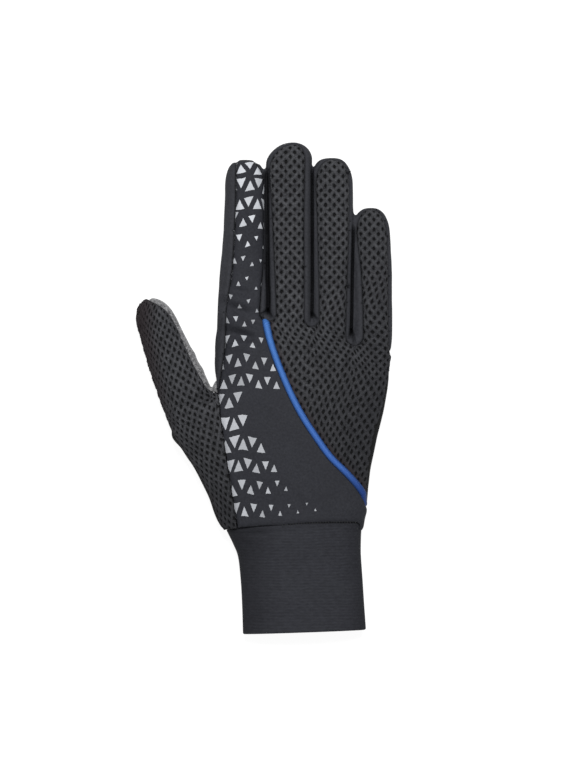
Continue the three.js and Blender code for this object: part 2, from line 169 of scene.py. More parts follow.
def tip_rings(left, right, height, tip, tip_power, power):
    """The rings that close a finger, from its last section to the end of its tip."""
    left, right, tip = (np.array(value, float) for value in (left, right, tip))
    start, half = (left + right) / 2, (right - left) / 2
    rings = []
    for step in np.sin(np.linspace(0, np.pi / 2, TIP_RINGS + 1)[1:]) * TIP_END:
        size = (1 - step ** tip_power) ** (1 / tip_power)
        centre = start + (tip - start) * step
        top = height / 2 + height / 2 * size
        bottom = height / 2 * (1 - size) * TIP_LIFT
        rings.append(ring(centre - half * size, centre + half * size, top, power, floor=bottom))
    return rings


def mesh_object(name, vertices, faces):
    """An object at the origin from points in millimetres, with its faces turned outwards."""
    mesh = bpy.data.meshes.new(name)
    mesh.from_pydata([tuple(v) for v in np.asarray(vertices) * MM], [], [tuple(f) for f in faces])
    shape = bmesh.new()
    shape.from_mesh(mesh)
    bmesh.ops.recalc_face_normals(shape, faces=shape.faces)
    shape.to_mesh(mesh)
    shape.free()
    return placed(name, mesh)


def quads(count, sides, closed=False):
    """The faces between rings of points, and from the last ring to the first one if closed."""
    return [
        (r * sides + i, r * sides + (i + 1) % sides,
         (r + 1) % count * sides + (i + 1) % sides, (r + 1) % count * sides + i)
        for r in range(count if closed else count - 1) for i in range(sides)
    ]


def loft(name, rings):
    """A closed skin through rings of equal length."""
    sides = len(rings[0])
    last = (len(rings) - 1) * sides
    ends = [range(sides), range(last, last + sides)]
    return mesh_object(name, np.vstack(rings), quads(len(rings), sides) + ends)


def finger(name, spec):
    rows = smooth_rows(spec["sections"], FINGER_STEPS)
    rings = [ring((left, y), (right, y), height, FINGER_POWER) for y, left, right, height in rows]
    y, left, right, height = rows[-1]
    rings += tip_rings((left, y), (right, y), height, spec["tip"], spec["tip_power"], FINGER_POWER)
    return loft(name, rings)


def thumb():
    rows = smooth_rows(THUMB["sections"], FINGER_STEPS)
    along = np.gradient(np.vstack([rows[:, :2], [THUMB["tip"]]]), axis=0)[:-1]
    along /= np.linalg.norm(along, axis=1)[:, None]
    across = np.column_stack([along[:, 1], -along[:, 0]])
    lefts, rights = rows[:, :2] - across * rows[:, 2:3], rows[:, :2] + across * rows[:, 2:3]
    rings = [ring(l, r, h, THUMB_POWER) for l, r, h in zip(lefts, rights, rows[:, 3])]
    height = rows[-1, 3]
    rings += tip_rings(lefts[-1], rights[-1], height, THUMB["tip"], THUMB["tip_power"], THUMB_POWER)
    return loft("thumb form", rings)


def hand():
    rows = smooth_rows(HAND, HAND_STEPS)
    return loft("hand form", [ring(r[:2], r[2:4], r[5], HAND_POWER, bow=r[4]) for r in rows])


def evaluated(obj, name):
    """A new object with the mesh that obj's modifiers give."""
    graph = bpy.context.evaluated_depsgraph_get()
    graph.update()
    mesh = bpy.data.meshes.new_from_object(obj.evaluated_get(graph), depsgraph=graph)
    return placed(name, mesh)


def discard(*objects):
    for obj in objects:
        bpy.data.objects.remove(obj)


def joined(name, objects):
    shape = bmesh.new()
    for obj in objects:
        shape.from_mesh(obj.data)
    mesh = bpy.data.meshes.new(name)
    shape.to_mesh(mesh)
    shape.free()
    discard(*objects)
    return placed(name, mesh)


def coordinates(mesh):
    """A mesh's points in millimetres, one row each."""
    flat = np.empty(len(mesh.vertices) * 3)
    mesh.vertices.foreach_get("co", flat)
    return flat.reshape(-1, 3) / MM


def normals(mesh):
    flat = np.empty(len(mesh.vertices) * 3)
    mesh.vertex_normals.foreach_get("vector", flat)
    return flat.reshape(-1, 3)


def move_points(mesh, points):
    mesh.vertices.foreach_set("co", (points * MM).ravel())
    mesh.update()


def eased(value):
    value = np.clip(value, 0, 1)
    return value * value * (3 - 2 * value)


# Soft folds that the fabric takes: from x, y to x, y, half width and depth
FOLDS = [
    (-20.0, 41.0, -5.0, 35.0, 2.4, 1.8), (-18.0, 49.0, -6.0, 46.0, 2.0, 1.2),
    (-20.0, 27.5, -3.0, 24.0, 2.4, 2.0), (-12.0, 33.0, 0.5, 29.0, 1.6, 1.4),
    (24.0, 29.0, 25.5, 15.0, 2.4, 0.9), (3.0, 31.0, 8.0, 22.0, 2.0, 0.5),
    (45.0, 19.5, 42.5, 6.0, 2.4, 0.9), (47.0, 17.0, 53.0, 3.0, 1.8, 0.4),
    (-25.5, -2.5, -39.5, -11.5, 2.4, 2.2), (-24.5, -6.0, -30.0, -20.0, 1.8, 1.0),
    (-26.0, -7.0, -36.0, -17.0, 1.5, 0.6), (13.0, -50.0, 21.0, -61.0, 1.6, 0.35),
    (20.0, -48.0, 27.0, -57.0, 1.4, 0.25), (8.0, 62.0, 19.0, 60.0, 1.5, 0.25),
    (28.0, 58.0, 40.0, 61.0, 1.5, 0.25), (49.0, 45.0, 59.0, 47.0, 1.4, 0.25),
    (-18.0, 63.0, -6.0, 65.0, 1.5, 0.25), (-21.8, 28.0, -18.6, 74.0, 1.1, 0.5),
]
# how the ends of a fold fade, and the low ridge that runs beside it
FOLD_END, FOLD_FULLNESS = 0.06, 0.6
RIDGE_RISE, RIDGE_AT, RIDGE_SHARPNESS = 0.45, 2.2, 3.0
# gathers in the suede beside the thumb's seam: x, y, radius and rise
GATHERS = [(-34.2, 17.2, 2.8, 0.6), (-31.2, 8.6, 2.0, 0.4)]
# the unevenness of the cloth: height, and scales of its broad and its fine part
WAVE_HEIGHT, BROAD_WAVE, FINE_WAVE, FINE_WAVE_SHARE = 0.45, 0.055, 0.14, 0.4
# the cloth lies still up to this height, and is free some way above it
STILL_BELOW, FREE_OVER = 3.0, 4.0
WEB_LOW, WEB_HIGH = 12.0, 38.0


def distance_to_stroke(points, stroke):
    start, end = np.array(stroke[:2]), np.array(stroke[2:4])
    along = end - start
    t = np.clip((points[:, :2] - start) @ along / (along @ along), 0, 1)
    return np.linalg.norm(points[:, :2] - start - t[:, None] * along, axis=1), t


def cloth_relief(points, outward):
    """How far each point moves along its normal, for folds and for the unevenness of cloth."""
    move = np.zeros(len(points))
    for *stroke, width, depth in FOLDS:
        distance, t = distance_to_stroke(points, stroke)
        fade = np.sin(np.pi * np.clip(t, FOLD_END, 1 - FOLD_END)) ** FOLD_FULLNESS
        ridge = np.exp(-((distance / width / RIDGE_AT - 1) ** 2) * RIDGE_SHARPNESS)
        move -= depth * fade * (np.exp(-((distance / width) ** 2)) - RIDGE_RISE * ridge)
    move *= eased(outward[:, 2] * 2)
    for x, y, radius, rise in GATHERS:
        distance = np.linalg.norm(points[:, :2] - (x, y), axis=1)
        move += rise * np.exp(-((distance / radius) ** 2)) * (points[:, 2] > STILL_BELOW)
    waves = np.array([
        noise.noise(Vector(p) * BROAD_WAVE) + FINE_WAVE_SHARE * noise.noise(Vector(p) * FINE_WAVE)
        for p in points
    ])
    return move + WAVE_HEIGHT * waves * eased((points[:, 2] - STILL_BELOW) / FREE_OVER)


def build_form():
    shapes = [finger(name, spec) for name, spec in FINGERS.items()]
    raw = joined("form", [*shapes, thumb(), hand()])
    remesh = raw.modifiers.new("voxels", "REMESH")
    remesh.mode = "VOXEL"
    remesh.voxel_size = FORM_VOXEL * MM
    skin = evaluated(raw, "form")
    discard(raw)
    points = coordinates(skin.data)
    web = skin.vertex_groups.new(name="web")
    inside_web = np.nonzero((points[:, 1] > WEB_LOW) & (points[:, 1] < WEB_HIGH))[0]
    web.add([int(i) for i in inside_web], 1.0, "REPLACE")
    for group, rounds in (("", SMOOTH_ROUNDS), ("web", WEB_SMOOTH_ROUNDS)):
        smooth = skin.modifiers.new("smooth", "SMOOTH")
        smooth.factor = 0.5
        smooth.iterations = rounds
        smooth.vertex_group = group
    soft = evaluated(skin, "form")
    discard(skin)
    points, outward = coordinates(soft.data), normals(soft.data)
    points += outward * cloth_relief(points, outward)[:, None]
    points[:, 2] = np.maximum(points[:, 2], 0.0)
    move_points(soft.data, points)
    return soft


form = build_form()


# The palm panel is one piece of light grey synthetic suede, brushed on its outer face. It covers
# the whole underside, comes up round every finger to the side seams, and lines the inner side
# of the thumb, where it shows from above. The palm seam is sewn inside out, so its edge rolls in.

PALM_SEAM_HEIGHT = 6.2
SEAM_GAP = 0.3
BELOW_ALL, ABOVE_ALL, OUTSIDE = -5.0, 60.0, 90.0
SEAM_STEPS = 6
PANEL_THICKNESS = 1.2
SLIVER = 0.04
ROLL_WIDTH, ROLL_DEPTH = 2.4, 0.9
# how far from the seam a lining begins to sink, and over what width it does
SINK_FROM, SINK_OVER = 0.5, 1.0
# the edge of a sheet counts as a join of two strips within this distance of it
JOIN_REACH = 0.6

# Seam lines seen from above, as x and y
THUMB_TIP_SEAM = [
    (-61.0, 46.5), (-56.5, 43.2), (-51.4, 40.6), (-46.9, 36.2), (-42.7, 28.9), (-39.6, 21.8),
    (-35.6, 12.7), (-31.0, 4.3), (-27.8, -0.7), (-23.4, -3.2),
]
THUMB_SEAM = [
    (-23.4, -3.2), (-22.5, -7.3), (-21.0, -19.2), (-19.4, -31.2), (-17.0, -47.2), (-14.6, -63.1),
    (-12.6, -76.0),
]
INDEX_OUTER_SEAM = [
    (-23.4, -3.2), (-22.4, 4.0), (-20.2, 16.6), (-19.4, 31.5), (-18.8, 41.5), (-16.1, 56.2),
    (-15.1, 71.6), (-14.3, 91.7), (-14.2, 105.0), (-13.8, 118.0),
]
PIPING_SEAM = [
    (0.9, 33.3), (2.7, 24.5), (5.6, 15.5), (8.9, 7.0), (13.8, -4.2), (19.4, -14.8), (25.7, -24.5),
    (32.7, -34.3), (41.1, -42.8), (46.7, -49.1), (50.2, -54.6), (51.4, -59.2),
]
THUMB_WEB = [(-24.0, -2.4), (-24.5, 2.0), (-24.7, 7.0), (-27.4, 12.0), (-28.0, 47.0)]
CUFF_SEAM = [
    (-58.9, -76.0), (-17.0, -71.2), (-12.0, -70.2), (-0.5, -69.2), (10.5, -68.8), (17.0, -68.1),
    (26.5, -67.6), (35.0, -67.4), (46.8, -67.6), (48.8, -68.8), (49.4, -71.8), (90.4, -71.8),
]


def seam(points):
    """A smooth line through points seen from above."""
    return smooth_rows(points, SEAM_STEPS)


def arc(centre, radius, start, end):
    """Points on a round seam, between two angles in degrees."""
    angle = np.radians(np.linspace(start, end, 2 + int(abs(end - start) / 15)))
    return np.array(centre) + radius * np.column_stack([np.cos(angle), np.sin(angle)])


def inset(outline, distance):
    """The closed outline moved inwards by a distance, with mitred corners."""
    points = np.array(outline, float)
    following = np.roll(points, -1, axis=0)
    turning = (points[:, 0] * following[:, 1] - following[:, 0] * points[:, 1]).sum()
    along = following - points
    along /= np.linalg.norm(along, axis=1)[:, None]
    before = np.roll(along, 1, axis=0)
    middle = along + before
    middle /= np.linalg.norm(middle, axis=1)[:, None]
    stretch = distance / np.maximum((middle * before).sum(axis=1), 0.5)
    inwards = np.column_stack([-middle[:, 1], middle[:, 0]]) * np.sign(turning)
    return points + inwards * stretch[:, None]


def prism(name, outline, low=BELOW_ALL, high=ABOVE_ALL):
    """An upright block over an outline. The mark on its faces tells a cut edge from the cloth."""
    outline = np.array(outline)
    count = len(outline)
    vertices = np.vstack([np.column_stack([outline, np.full(count, z)]) for z in (low, high)])
    faces = [range(count), range(count, 2 * count)]
    faces += [(i, (i + 1) % count, count + (i + 1) % count, count + i) for i in range(count)]
    block = mesh_object(name, vertices, faces)
    mark = block.data.attributes.new("cut", "INT", "FACE")
    mark.data.foreach_set("value", np.ones(len(faces), np.int32))
    return block


def carved(source, name, *cuts):
    """A copy of source after the cuts, each one an operation and the block it works with."""
    for operation, block in cuts:
        cut = source.modifiers.new("cut", "BOOLEAN")
        cut.operation = operation
        cut.solver = "MANIFOLD"
        cut.object = block
    made = evaluated(source, name)
    source.modifiers.clear()
    return made


def cloth_only(obj):
    """Drops the faces that a cut left, so that only the form's own skin stays."""
    shape = bmesh.new()
    shape.from_mesh(obj.data)
    mark = shape.faces.layers.int.get("cut")
    bmesh.ops.delete(shape, geom=[f for f in shape.faces if f[mark]], context="FACES")
    bmesh.ops.remove_doubles(shape, verts=shape.verts, dist=SLIVER * MM)
    loose = [v for v in shape.verts if not v.link_faces]
    bmesh.ops.delete(shape, geom=loose, context="VERTS")
    shape.to_mesh(obj.data)
    shape.free()
    return obj


def patch(name, *cuts):
    """The skin of the form beyond the cuff's seam, after some more cuts."""
    return cloth_only(carved(form, name, ("INTERSECT", above_cuff), *cuts))


def edge_tree(mesh, joins=()):
    """Finds how far a point is from the edge of an open sheet, without its edge at some joins."""
    shape = bmesh.new()
    shape.from_mesh(mesh)
    points = np.array([v.co / MM for e in shape.edges if e.is_boundary for v in e.verts])
    shape.free()
    for join in joins:
        points = points[distance_to_stroke(points, join)[0] > JOIN_REACH]
    tree = KDTree(len(points))
    for i, point in enumerate(points):
        tree.insert(point, i)
    tree.balance()
    return tree


def rolled(points, outward, tree, sink=0.0):
    """The points moved inwards towards the seams that hold them, and a lining's sunk between."""
    distance = np.array([tree.find(p)[2] for p in points])
    fall = ROLL_DEPTH * (1 - np.clip(distance / ROLL_WIDTH, 0, 1)) ** 2
    return points - outward * (fall + sink * eased((distance - SINK_FROM) / SINK_OVER))[:, None]


def sewn(sheet, name, thickness=PANEL_THICKNESS, sink=0.0, joins=()):
    """A sewn panel: its edges roll inwards, and it has the thickness of its cloth."""
    tree = edge_tree(sheet.data, joins)
    panel = sheet.copy()
    panel.data = sheet.data.copy()
    scene.collection.objects.link(panel)
    move_points(panel.data, rolled(coordinates(sheet.data), normals(sheet.data), tree, sink))
    wall = panel.modifiers.new("thickness", "SOLIDIFY")
    wall.thickness = thickness * MM
    wall.offset = -1
    made = evaluated(panel, name)
    discard(panel)
    made.data.attributes.remove(made.data.attributes["cut"])
    made.data.shade_smooth()
    return made


class Wire:
    """An output of a node. Sums and products of wires add their Math nodes by themselves."""

    def __init__(self, nodes, socket):
        self.nodes = nodes
        self.socket = socket

    def __add__(self, other):
        return self.nodes.math("ADD", self, other)

    def __sub__(self, other):
        return self.nodes.math("SUBTRACT", self, other)

    def __rsub__(self, other):
        return self.nodes.math("SUBTRACT", other, self)

    def __mul__(self, other):
        return self.nodes.math("MULTIPLY", self, other)

    __radd__ = __add__
    __rmul__ = __mul__


class Nodes:
    """Adds nodes to a material's or a geometry's tree."""

    def __init__(self, tree):
        self.tree = tree

    def add(self, kind, settings=None, **inputs):
        """A node with its settings, and the values or wires of its sockets.
        An underscore stands for a space in a socket's name, and s0, s1 for its place."""
        node = self.tree.nodes.new(kind)
        for name, value in (settings or {}).items():
            setattr(node, name, value)
        for name, value in inputs.items():
            numbered = name[0] == "s" and name[1:].isdigit()
            socket = node.inputs[int(name[1:]) if numbered else name.replace("_", " ")]
            if isinstance(value, Wire):
                self.tree.links.new(value.socket, socket)
            else:
                socket.default_value = value
        return node

    def wire(self, kind, output=0, settings=None, **inputs):
        return Wire(self, self.add(kind, settings, **inputs).outputs[output])

    def math(self, operation, first, second=0.0):
        return self.wire("ShaderNodeMath", settings={"operation": operation}, s0=first, s1=second)

    def mix(self, factor, first, second):
        """The colour between two colours."""
        return self.wire("ShaderNodeMix", output=2, settings={"data_type": "RGBA"},
                         s0=factor, s6=first, s7=second)

    def split(self, vector):
        """The x, y and z of a vector."""
        parts = self.add("ShaderNodeSeparateXYZ", Vector=vector)
        return [Wire(self, output) for output in parts.outputs]


class Finish(Nodes):
    """A new material, with the values that are the same all over the surface."""

    def __init__(self, name, **values):
        self.material = bpy.data.materials.new(name)
        self.material.use_nodes = True
        super().__init__(self.material.node_tree)
        self.shader = self.tree.nodes["Principled BSDF"]
        for socket, value in values.items():
            self.shader.inputs[socket.replace("_", " ")].default_value = value

    def place(self):
        """Where a point lies on the glove."""
        return self.wire("ShaderNodeTexCoord", output=3)

    def mottle(self, place, scale, detail=3.0, roughness=0.5):
        return self.wire("ShaderNodeTexNoise", Vector=place, Scale=scale, Detail=detail, Roughness=roughness)

    def mark(self, name):
        """What an attribute of the mesh says at a point, or nought where the mesh has none."""
        return self.wire("ShaderNodeAttribute", output=2, settings={"attribute_name": name})

    def ramp(self, value, start, end, low=0.0, high=1.0, interpolation="LINEAR"):
        """Goes from low to high while a value goes from start to end."""
        return self.wire("ShaderNodeMapRange", settings={"interpolation_type": interpolation}, Value=value,
                         From_Min=start, From_Max=end, To_Min=low, To_Max=high)

    def paint(self, color):
        self.tree.links.new(color.socket, self.shader.inputs["Base Color"])

    def emboss(self, height, strength, distance):
        bump = self.wire("ShaderNodeBump", Strength=strength, Distance=distance, Height=height)
        self.tree.links.new(bump.socket, self.shader.inputs["Normal"])


SUEDE_LIGHT = (0.285, 0.285, 0.29, 1.0)
SUEDE_DARK = (0.062, 0.062, 0.066, 1.0)


def suede():
    """Brushed microfibre: heathered grey, no shine, short nap that lies in patches."""
    cloth = Finish("grey suede", Roughness=0.95, Sheen_Weight=0.25, Sheen_Roughness=0.5)
    place = cloth.place()
    grain = cloth.mottle(place, 850.0, 4.0, 0.75)
    nap = cloth.mottle(place, 160.0, 4.0, 0.6)
    cloth.paint(cloth.mix(grain * 3.8 + nap * 0.8 - 2.0, SUEDE_DARK, SUEDE_LIGHT))
    cloth.emboss(grain + nap * 0.8, strength=0.5, distance=0.00025)
    return cloth.material


def dress(obj, material, node):
    """A finished piece: its material, what it stands for, and the body it belongs to."""
    obj.data.materials.clear()
    obj.data.materials.append(material)
    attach(obj, "root")
    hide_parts(node)


beyond_fingers = [(OUTSIDE, OUTSIDE * 2), (-OUTSIDE, OUTSIDE * 2)]
all_round = [(-OUTSIDE, -OUTSIDE * 2), (OUTSIDE, -OUTSIDE * 2), *beyond_fingers]
above_cuff = prism("above cuff", [*CUFF_SEAM, *beyond_fingers])
lower_half = prism("lower half", all_round, high=PALM_SEAM_HEIGHT)
thumb_inner_outline = np.vstack([seam(THUMB_TIP_SEAM)[:-1], THUMB_WEB])
thumb_inner = prism("thumb inner", inset(thumb_inner_outline, SEAM_GAP / 2))
palm_block = carved(lower_half, "palm block", ("UNION", thumb_inner))
palm_sheet = patch("palm sheet", ("INTERSECT", palm_block))
palm_panel = sewn(palm_sheet, "palm_panel_suede")
dress(palm_panel, suede(), "palm_panel")


# The print panel is a smooth black stretch fabric. It runs from the tip of the index finger over
# the back of the hand to the cuff, and carries a screen print of light grey triangles.

INDEX_MIDDLE_CROTCH = ((2.1, 37.0), 3.9)
PIPING_MEETS_ARC = 252.0
INDEX_TIP_EDGE = [(-6.0, 118.0), (-3.6, 112.2), (-1.9, 109.5), (-0.3, 107.0)]
INDEX_EDGE = [(0.6, 102.5), (0.6, 80.0), (0.4, 62.0), (-0.8, 50.0)]
above_palm = PALM_SEAM_HEIGHT + SEAM_GAP


def upper_sheet(name, outline):
    """The skin of the form above the palm's seam and inside a panel's outline."""
    block = prism(name, inset(outline, SEAM_GAP / 2), above_palm)
    sheet = patch(name, ("INTERSECT", block))
    discard(block)
    return sheet


print_outline = np.vstack([
    seam(PIPING_SEAM), [(54.0, -60.4), (OUTSIDE, -60.6), (OUTSIDE, -82.0), (-11.6, -82.0)],
    seam(THUMB_SEAM)[::-1], seam(INDEX_OUTER_SEAM)[1:],
    INDEX_TIP_EDGE, seam(INDEX_EDGE), arc(*INDEX_MIDDLE_CROTCH, 180, PIPING_MEETS_ARC)[:-1],
])
print_sheet = upper_sheet("print sheet", print_outline)
print_panel = sewn(print_sheet, "print_panel_fabric")

JERSEY_BLACK = (0.0165, 0.017, 0.0205, 1.0)
JERSEY_LIT = (0.033, 0.0345, 0.041, 1.0)
# near black, for the painted shade in creases and beside seams
CREASE_SHADE_BLACK = (0.002, 0.002, 0.0025, 1.0)
SHADOW_BLACK = (0.008, 0.008, 0.0095, 1.0)


def jersey(name, dark=JERSEY_BLACK, light=JERSEY_LIT, wale=0.62, course=0.5, streaks=1.0, shadows=()):
    """Fine stretch knit: upright wales crossed by courses, worn a little lighter in patches.
    A shadow lies from its outer x, in metres, to its inner x, and has its greatest depth."""
    cloth = Finish(name, Roughness=0.7, Specular_IOR_Level=0.06)
    place = cloth.place()
    x, y, z = cloth.split(place)
    wales = cloth.math("SINE", x * (2 * np.pi / (wale * MM)))
    narrow = cloth.wire("ShaderNodeCombineXYZ", X=x * streaks, Y=y, Z=z)
    fuzz = cloth.mottle(narrow, 900.0, roughness=0.75)
    patchy = cloth.mottle(place, 38.0, roughness=0.55)
    courses = cloth.math("SINE", y * (2 * np.pi / (course * MM)) + wales * 0.9 + patchy * 12.0)
    knit = wales * 0.2 + courses * 0.22 + fuzz * 3.0
    color = cloth.mix(knit * 0.5 + patchy * 0.5 - 0.62, dark, light)
    # painted shade: the mesh's cleft mark makes it near black in creases, pinches and beside seams
    color = cloth.mix(cloth.mark("cleft") * 0.85, color, CREASE_SHADE_BLACK)
    for outer, inner, most in shadows:
        dim = cloth.ramp(x, outer, inner, most, 0.0, "SMOOTHSTEP")
        color = cloth.mix(dim, color, SHADOW_BLACK)
    cloth.paint(color)
    cloth.emboss(knit, strength=0.35, distance=0.00016)
    return cloth.material


black_jersey = jersey("black stretch jersey")
dress(print_panel, black_jersey, "print_panel")


FLAT_STEP = 0.8
STEEPEST = 2.4
IGNORED_SLOPE = 1.03
PRINT_MIDDLE, PRINT_LEVEL = (-8.5, -200.0), 30.0
PRINT_PITCH = 8.8
PRINT_DIVISIONS = 3
INK_THICKNESS = 0.12
INK_RISE = 0.09
INK_MARGIN = 0.55
# unevenness of the print: its scale along x and y, its reach, and its share of turn and of light
INK_NOISE_X, INK_NOISE_Y, INK_JITTER = 0.31, 0.17, 0.25
INK_TURN, INK_FADE = 0.5, 0.6
# where in the noise its part along x, its part along y and its turn are taken from
INK_SHIFTS = [(0.0, 0.0, 0.37), (31.7, 12.9, 0.71), (57.3, 44.1, 0.13)]
# a block for a flat piece reaches this far above and below it
FLAT_DEPTH = 5.0

# middle y, x of one triangle that points down, height of the triangles at the left edge, what
# they lose for each millimetre to the right, width for their height, last x, brightness, how far
# those that point down lie above the middle, and how steeply the row falls to the right
PRINT_ROWS = [
    (111.2, -7.0, 4.7, 0.0, 1.05, 2.0, 1.0, 1.7, 0.25),
    (102.3, -11.4, 4.8, 0.0, 1.0, 4.0, 1.0, 1.5, 0.18),
    (92.8, -7.7, 5.0, 0.0, 0.92, 4.0, 0.97, 1.3, 0.15),
    (84.4, -6.0, 4.9, 0.1, 0.95, 4.0, 0.95, 1.6, 0.33),
    (74.1, -12.5, 4.1, 0.14, 0.95, 2.0, 0.97, 1.9, 0.22),
    (64.3, -10.3, 3.1, 0.09, 0.95, 2.0, 0.88, 1.6, 0.33),
    (53.7, -8.4, 3.0, 0.12, 0.95, 1.0, 0.9, 2.0, 0.42),
    (42.0, -7.8, 2.6, 0.05, 0.95, -3.0, 0.8, 2.0, 0.32),
    (32.4, -14.2, 3.1, 0.06, 0.9, -5.0, 0.83, 1.3, 0.2),
    (21.9, -10.0, 4.0, 0.07, 0.88, 3.0, 0.86, 1.9, 0.05),
    (11.7, -8.6, 4.6, 0.05, 0.84, 8.0, 0.8, 1.9, 0.05),
    (1.9, -15.8, 4.8, 0.04, 0.84, 9.0, 0.8, 1.55, 0.0),
    (-8.0, -13.0, 5.3, 0.0, 0.84, -11.0, 0.81, 1.8, 0.05),
    (-19.2, -19.2, 6.2, 0.06, 0.84, -8.0, 0.83, 1.4, 0.0),
    (-29.5, -14.6, 6.4, 0.1, 0.88, 0.5, 0.84, 1.85, 0.0),
    (-40.4, -16.9, 6.1, 0.1, 0.82, 9.0, 0.84, 1.4, -0.05),
    (-51.5, -11.0, 6.0, 0.13, 0.8, 15.0, 0.83, 1.9, -0.12),
    (-62.7, -13.9, 5.9, 0.13, 0.76, 30.0, 0.84, 1.9, -0.08),
]
PRINT_SLANTS_FROM, PRINT_SHRINKS_FROM = -10.0, -18.0
PRINT_LEFT = -24.0
PRINT_SMALLEST = 1.5


form_tree = BVHTree.FromPolygons(
    [tuple(p) for p in coordinates(form.data)], [tuple(p.vertices) for p in form.data.polygons],
)


def surface_height(x, y):
    """The height of the form over a point, or of the palm seam beside it."""
    spot, _, _, _ = form_tree.ray_cast(Vector((x, y, ABOVE_ALL)), Vector((0.0, 0.0, -1.0)))
    return spot.z if spot else PALM_SEAM_HEIGHT


def turned(points, degrees):
    angle = np.radians(degrees)
    return points @ np.array([[np.cos(angle), np.sin(angle)], [-np.sin(angle), np.cos(angle)]])


def extra_length(heights, step, axis, gather):
    """How much longer than seen from above the cloth is, summed up along one axis."""
    slope = np.clip(np.abs(np.gradient(heights, step, axis=axis)) * gather, 0, STEEPEST)
    return np.cumsum(np.maximum(np.hypot(1, slope) - IGNORED_SLOPE, 0), axis=axis) * step


def flattened(sheet, grain, middles, level, gather=1.0):
    """The sheet's points on flat cloth with its grain upright: as seen from above, but longer
    where the form falls away, and more so where the cloth is gathered. Widths are kept at the
    nearest middle and lengths at the level."""
    plan = turned(coordinates(sheet.data)[:, :2], -grain)
    low = plan.min(axis=0) - FLAT_STEP
    count = ((plan.max(axis=0) - low) / FLAT_STEP + 2).astype(int)
    across, along = (low[k] + np.arange(count[k]) * FLAT_STEP for k in (0, 1))
    spots = turned(np.array([(u, v) for u in across for v in along]), grain)
    heights = np.array([surface_height(x, y) for x, y in spots]).reshape(count)
    sideways = extra_length(heights, FLAT_STEP, 0, gather)
    lengthways = extra_length(heights, FLAT_STEP, 1, 1.0)
    for j, v in enumerate(along):
        here = np.array([middle for middle, lowest in middles if v > lowest])
        nearest = here[np.abs(across[:, None] - here).argmin(axis=1)]
        sideways[:, j] -= sideways[((nearest - low[0]) / FLAT_STEP).astype(int), j]
    lengthways -= lengthways[:, [int((level - low[1]) / FLAT_STEP)]]
    place = (plan - low) / FLAT_STEP
    cell = np.minimum(place.astype(int), count - 2)
    part = place - cell
    flat = plan.copy()
    for k, extra in ((0, sideways), (1, lengthways)):
        for i in (0, 1):
            for j in (0, 1):
                weight = np.abs(1 - i - part[:, 0]) * np.abs(1 - j - part[:, 1])
                flat[:, k] += weight * extra[cell[:, 0] + i, cell[:, 1] + j]
    return flat


def boundary_outline(mesh, flat):
    """The sheet's edge on the flat, as one closed line."""
    shape = bmesh.new()
    shape.from_mesh(mesh)
    edges = dict.fromkeys(e for e in shape.edges if e.is_boundary)
    longest = []
    while edges:
        edge, _ = edges.popitem()
        line = [edge.verts[0], edge.verts[1]]
        while True:
            onward = [e for e in line[-1].link_edges if e in edges]
            if not onward:
                break
            del edges[onward[0]]
            line.append(onward[0].other_vert(line[-1]))
        if len(line) > len(longest):
            longest = line
    outline = flat[[v.index for v in longest[:-1]]]
    shape.free()
    return outline


def laid_on(flat_piece, sheet, flat, rise):
    """Wraps a flat piece onto the form: its height on the flat becomes its height over the sheet."""
    mesh = sheet.data
    polygons = [tuple(p.vertices) for p in mesh.polygons]
    tree = BVHTree.FromPolygons([(u, v, 0.0) for u, v in flat], polygons)
    places, outward = coordinates(mesh), normals(mesh)
    seam_tree = edge_tree(mesh)
    points = coordinates(flat_piece.data)
    where = np.empty_like(points)
    facing = np.empty_like(points)
    for i, (x, y, _) in enumerate(points):
        spot, _, face, _ = tree.find_nearest((x, y, 0.0))
        corners = list(mesh.polygons[face].vertices)
        corner_flat = flat[corners]
        weights = 1.0 / (np.linalg.norm(corner_flat - (spot.x, spot.y), axis=1) + 1e-3) ** 2
        weights /= weights.sum()
        where[i] = weights @ places[corners]
        facing[i] = weights @ outward[corners]
    facing /= np.linalg.norm(facing, axis=1)[:, None]
    base = rolled(where, facing, seam_tree)
    move_points(flat_piece.data, base + facing * (points[:, 2:3] + rise))


def new_tree(name, **kinds):
    """A geometry tree with named inputs: its nodes, and a wire from each input."""
    tree = bpy.data.node_groups.new(name, "GeometryNodeTree")
    kinds = {"Geometry": "Geometry", **kinds}
    for socket, kind in kinds.items():
        tree.interface.new_socket(socket, in_out="INPUT", socket_type="NodeSocket" + kind)
    tree.interface.new_socket("Geometry", in_out="OUTPUT", socket_type="NodeSocketGeometry")
    nodes = Nodes(tree)
    source = nodes.add("NodeGroupInput")
    return nodes, {socket: Wire(nodes, source.outputs[socket]) for socket in kinds}


def end_tree(nodes, geometry, material):
    """Ends a geometry tree in real geometry with its material."""
    real = nodes.wire("GeometryNodeRealizeInstances", Geometry=geometry)
    done = nodes.wire("GeometryNodeSetMaterial", Geometry=real, Material=material)
    nodes.tree.links.new(done.socket, nodes.add("NodeGroupOutput").inputs["Geometry"])
    return nodes.tree


def run_tree(obj, tree, name, **values):
    """The mesh that a geometry tree makes on obj, with its inputs set by name."""
    modifier = obj.modifiers.new("nodes", "NODES")
    modifier.node_group = tree
    for item in tree.interface.items_tree:
        if item.in_out == "INPUT" and item.name in values:
            modifier[item.identifier] = values[item.name]
    obj.update_tag()
    made = evaluated(obj, name)
    obj.modifiers.remove(modifier)
    return made


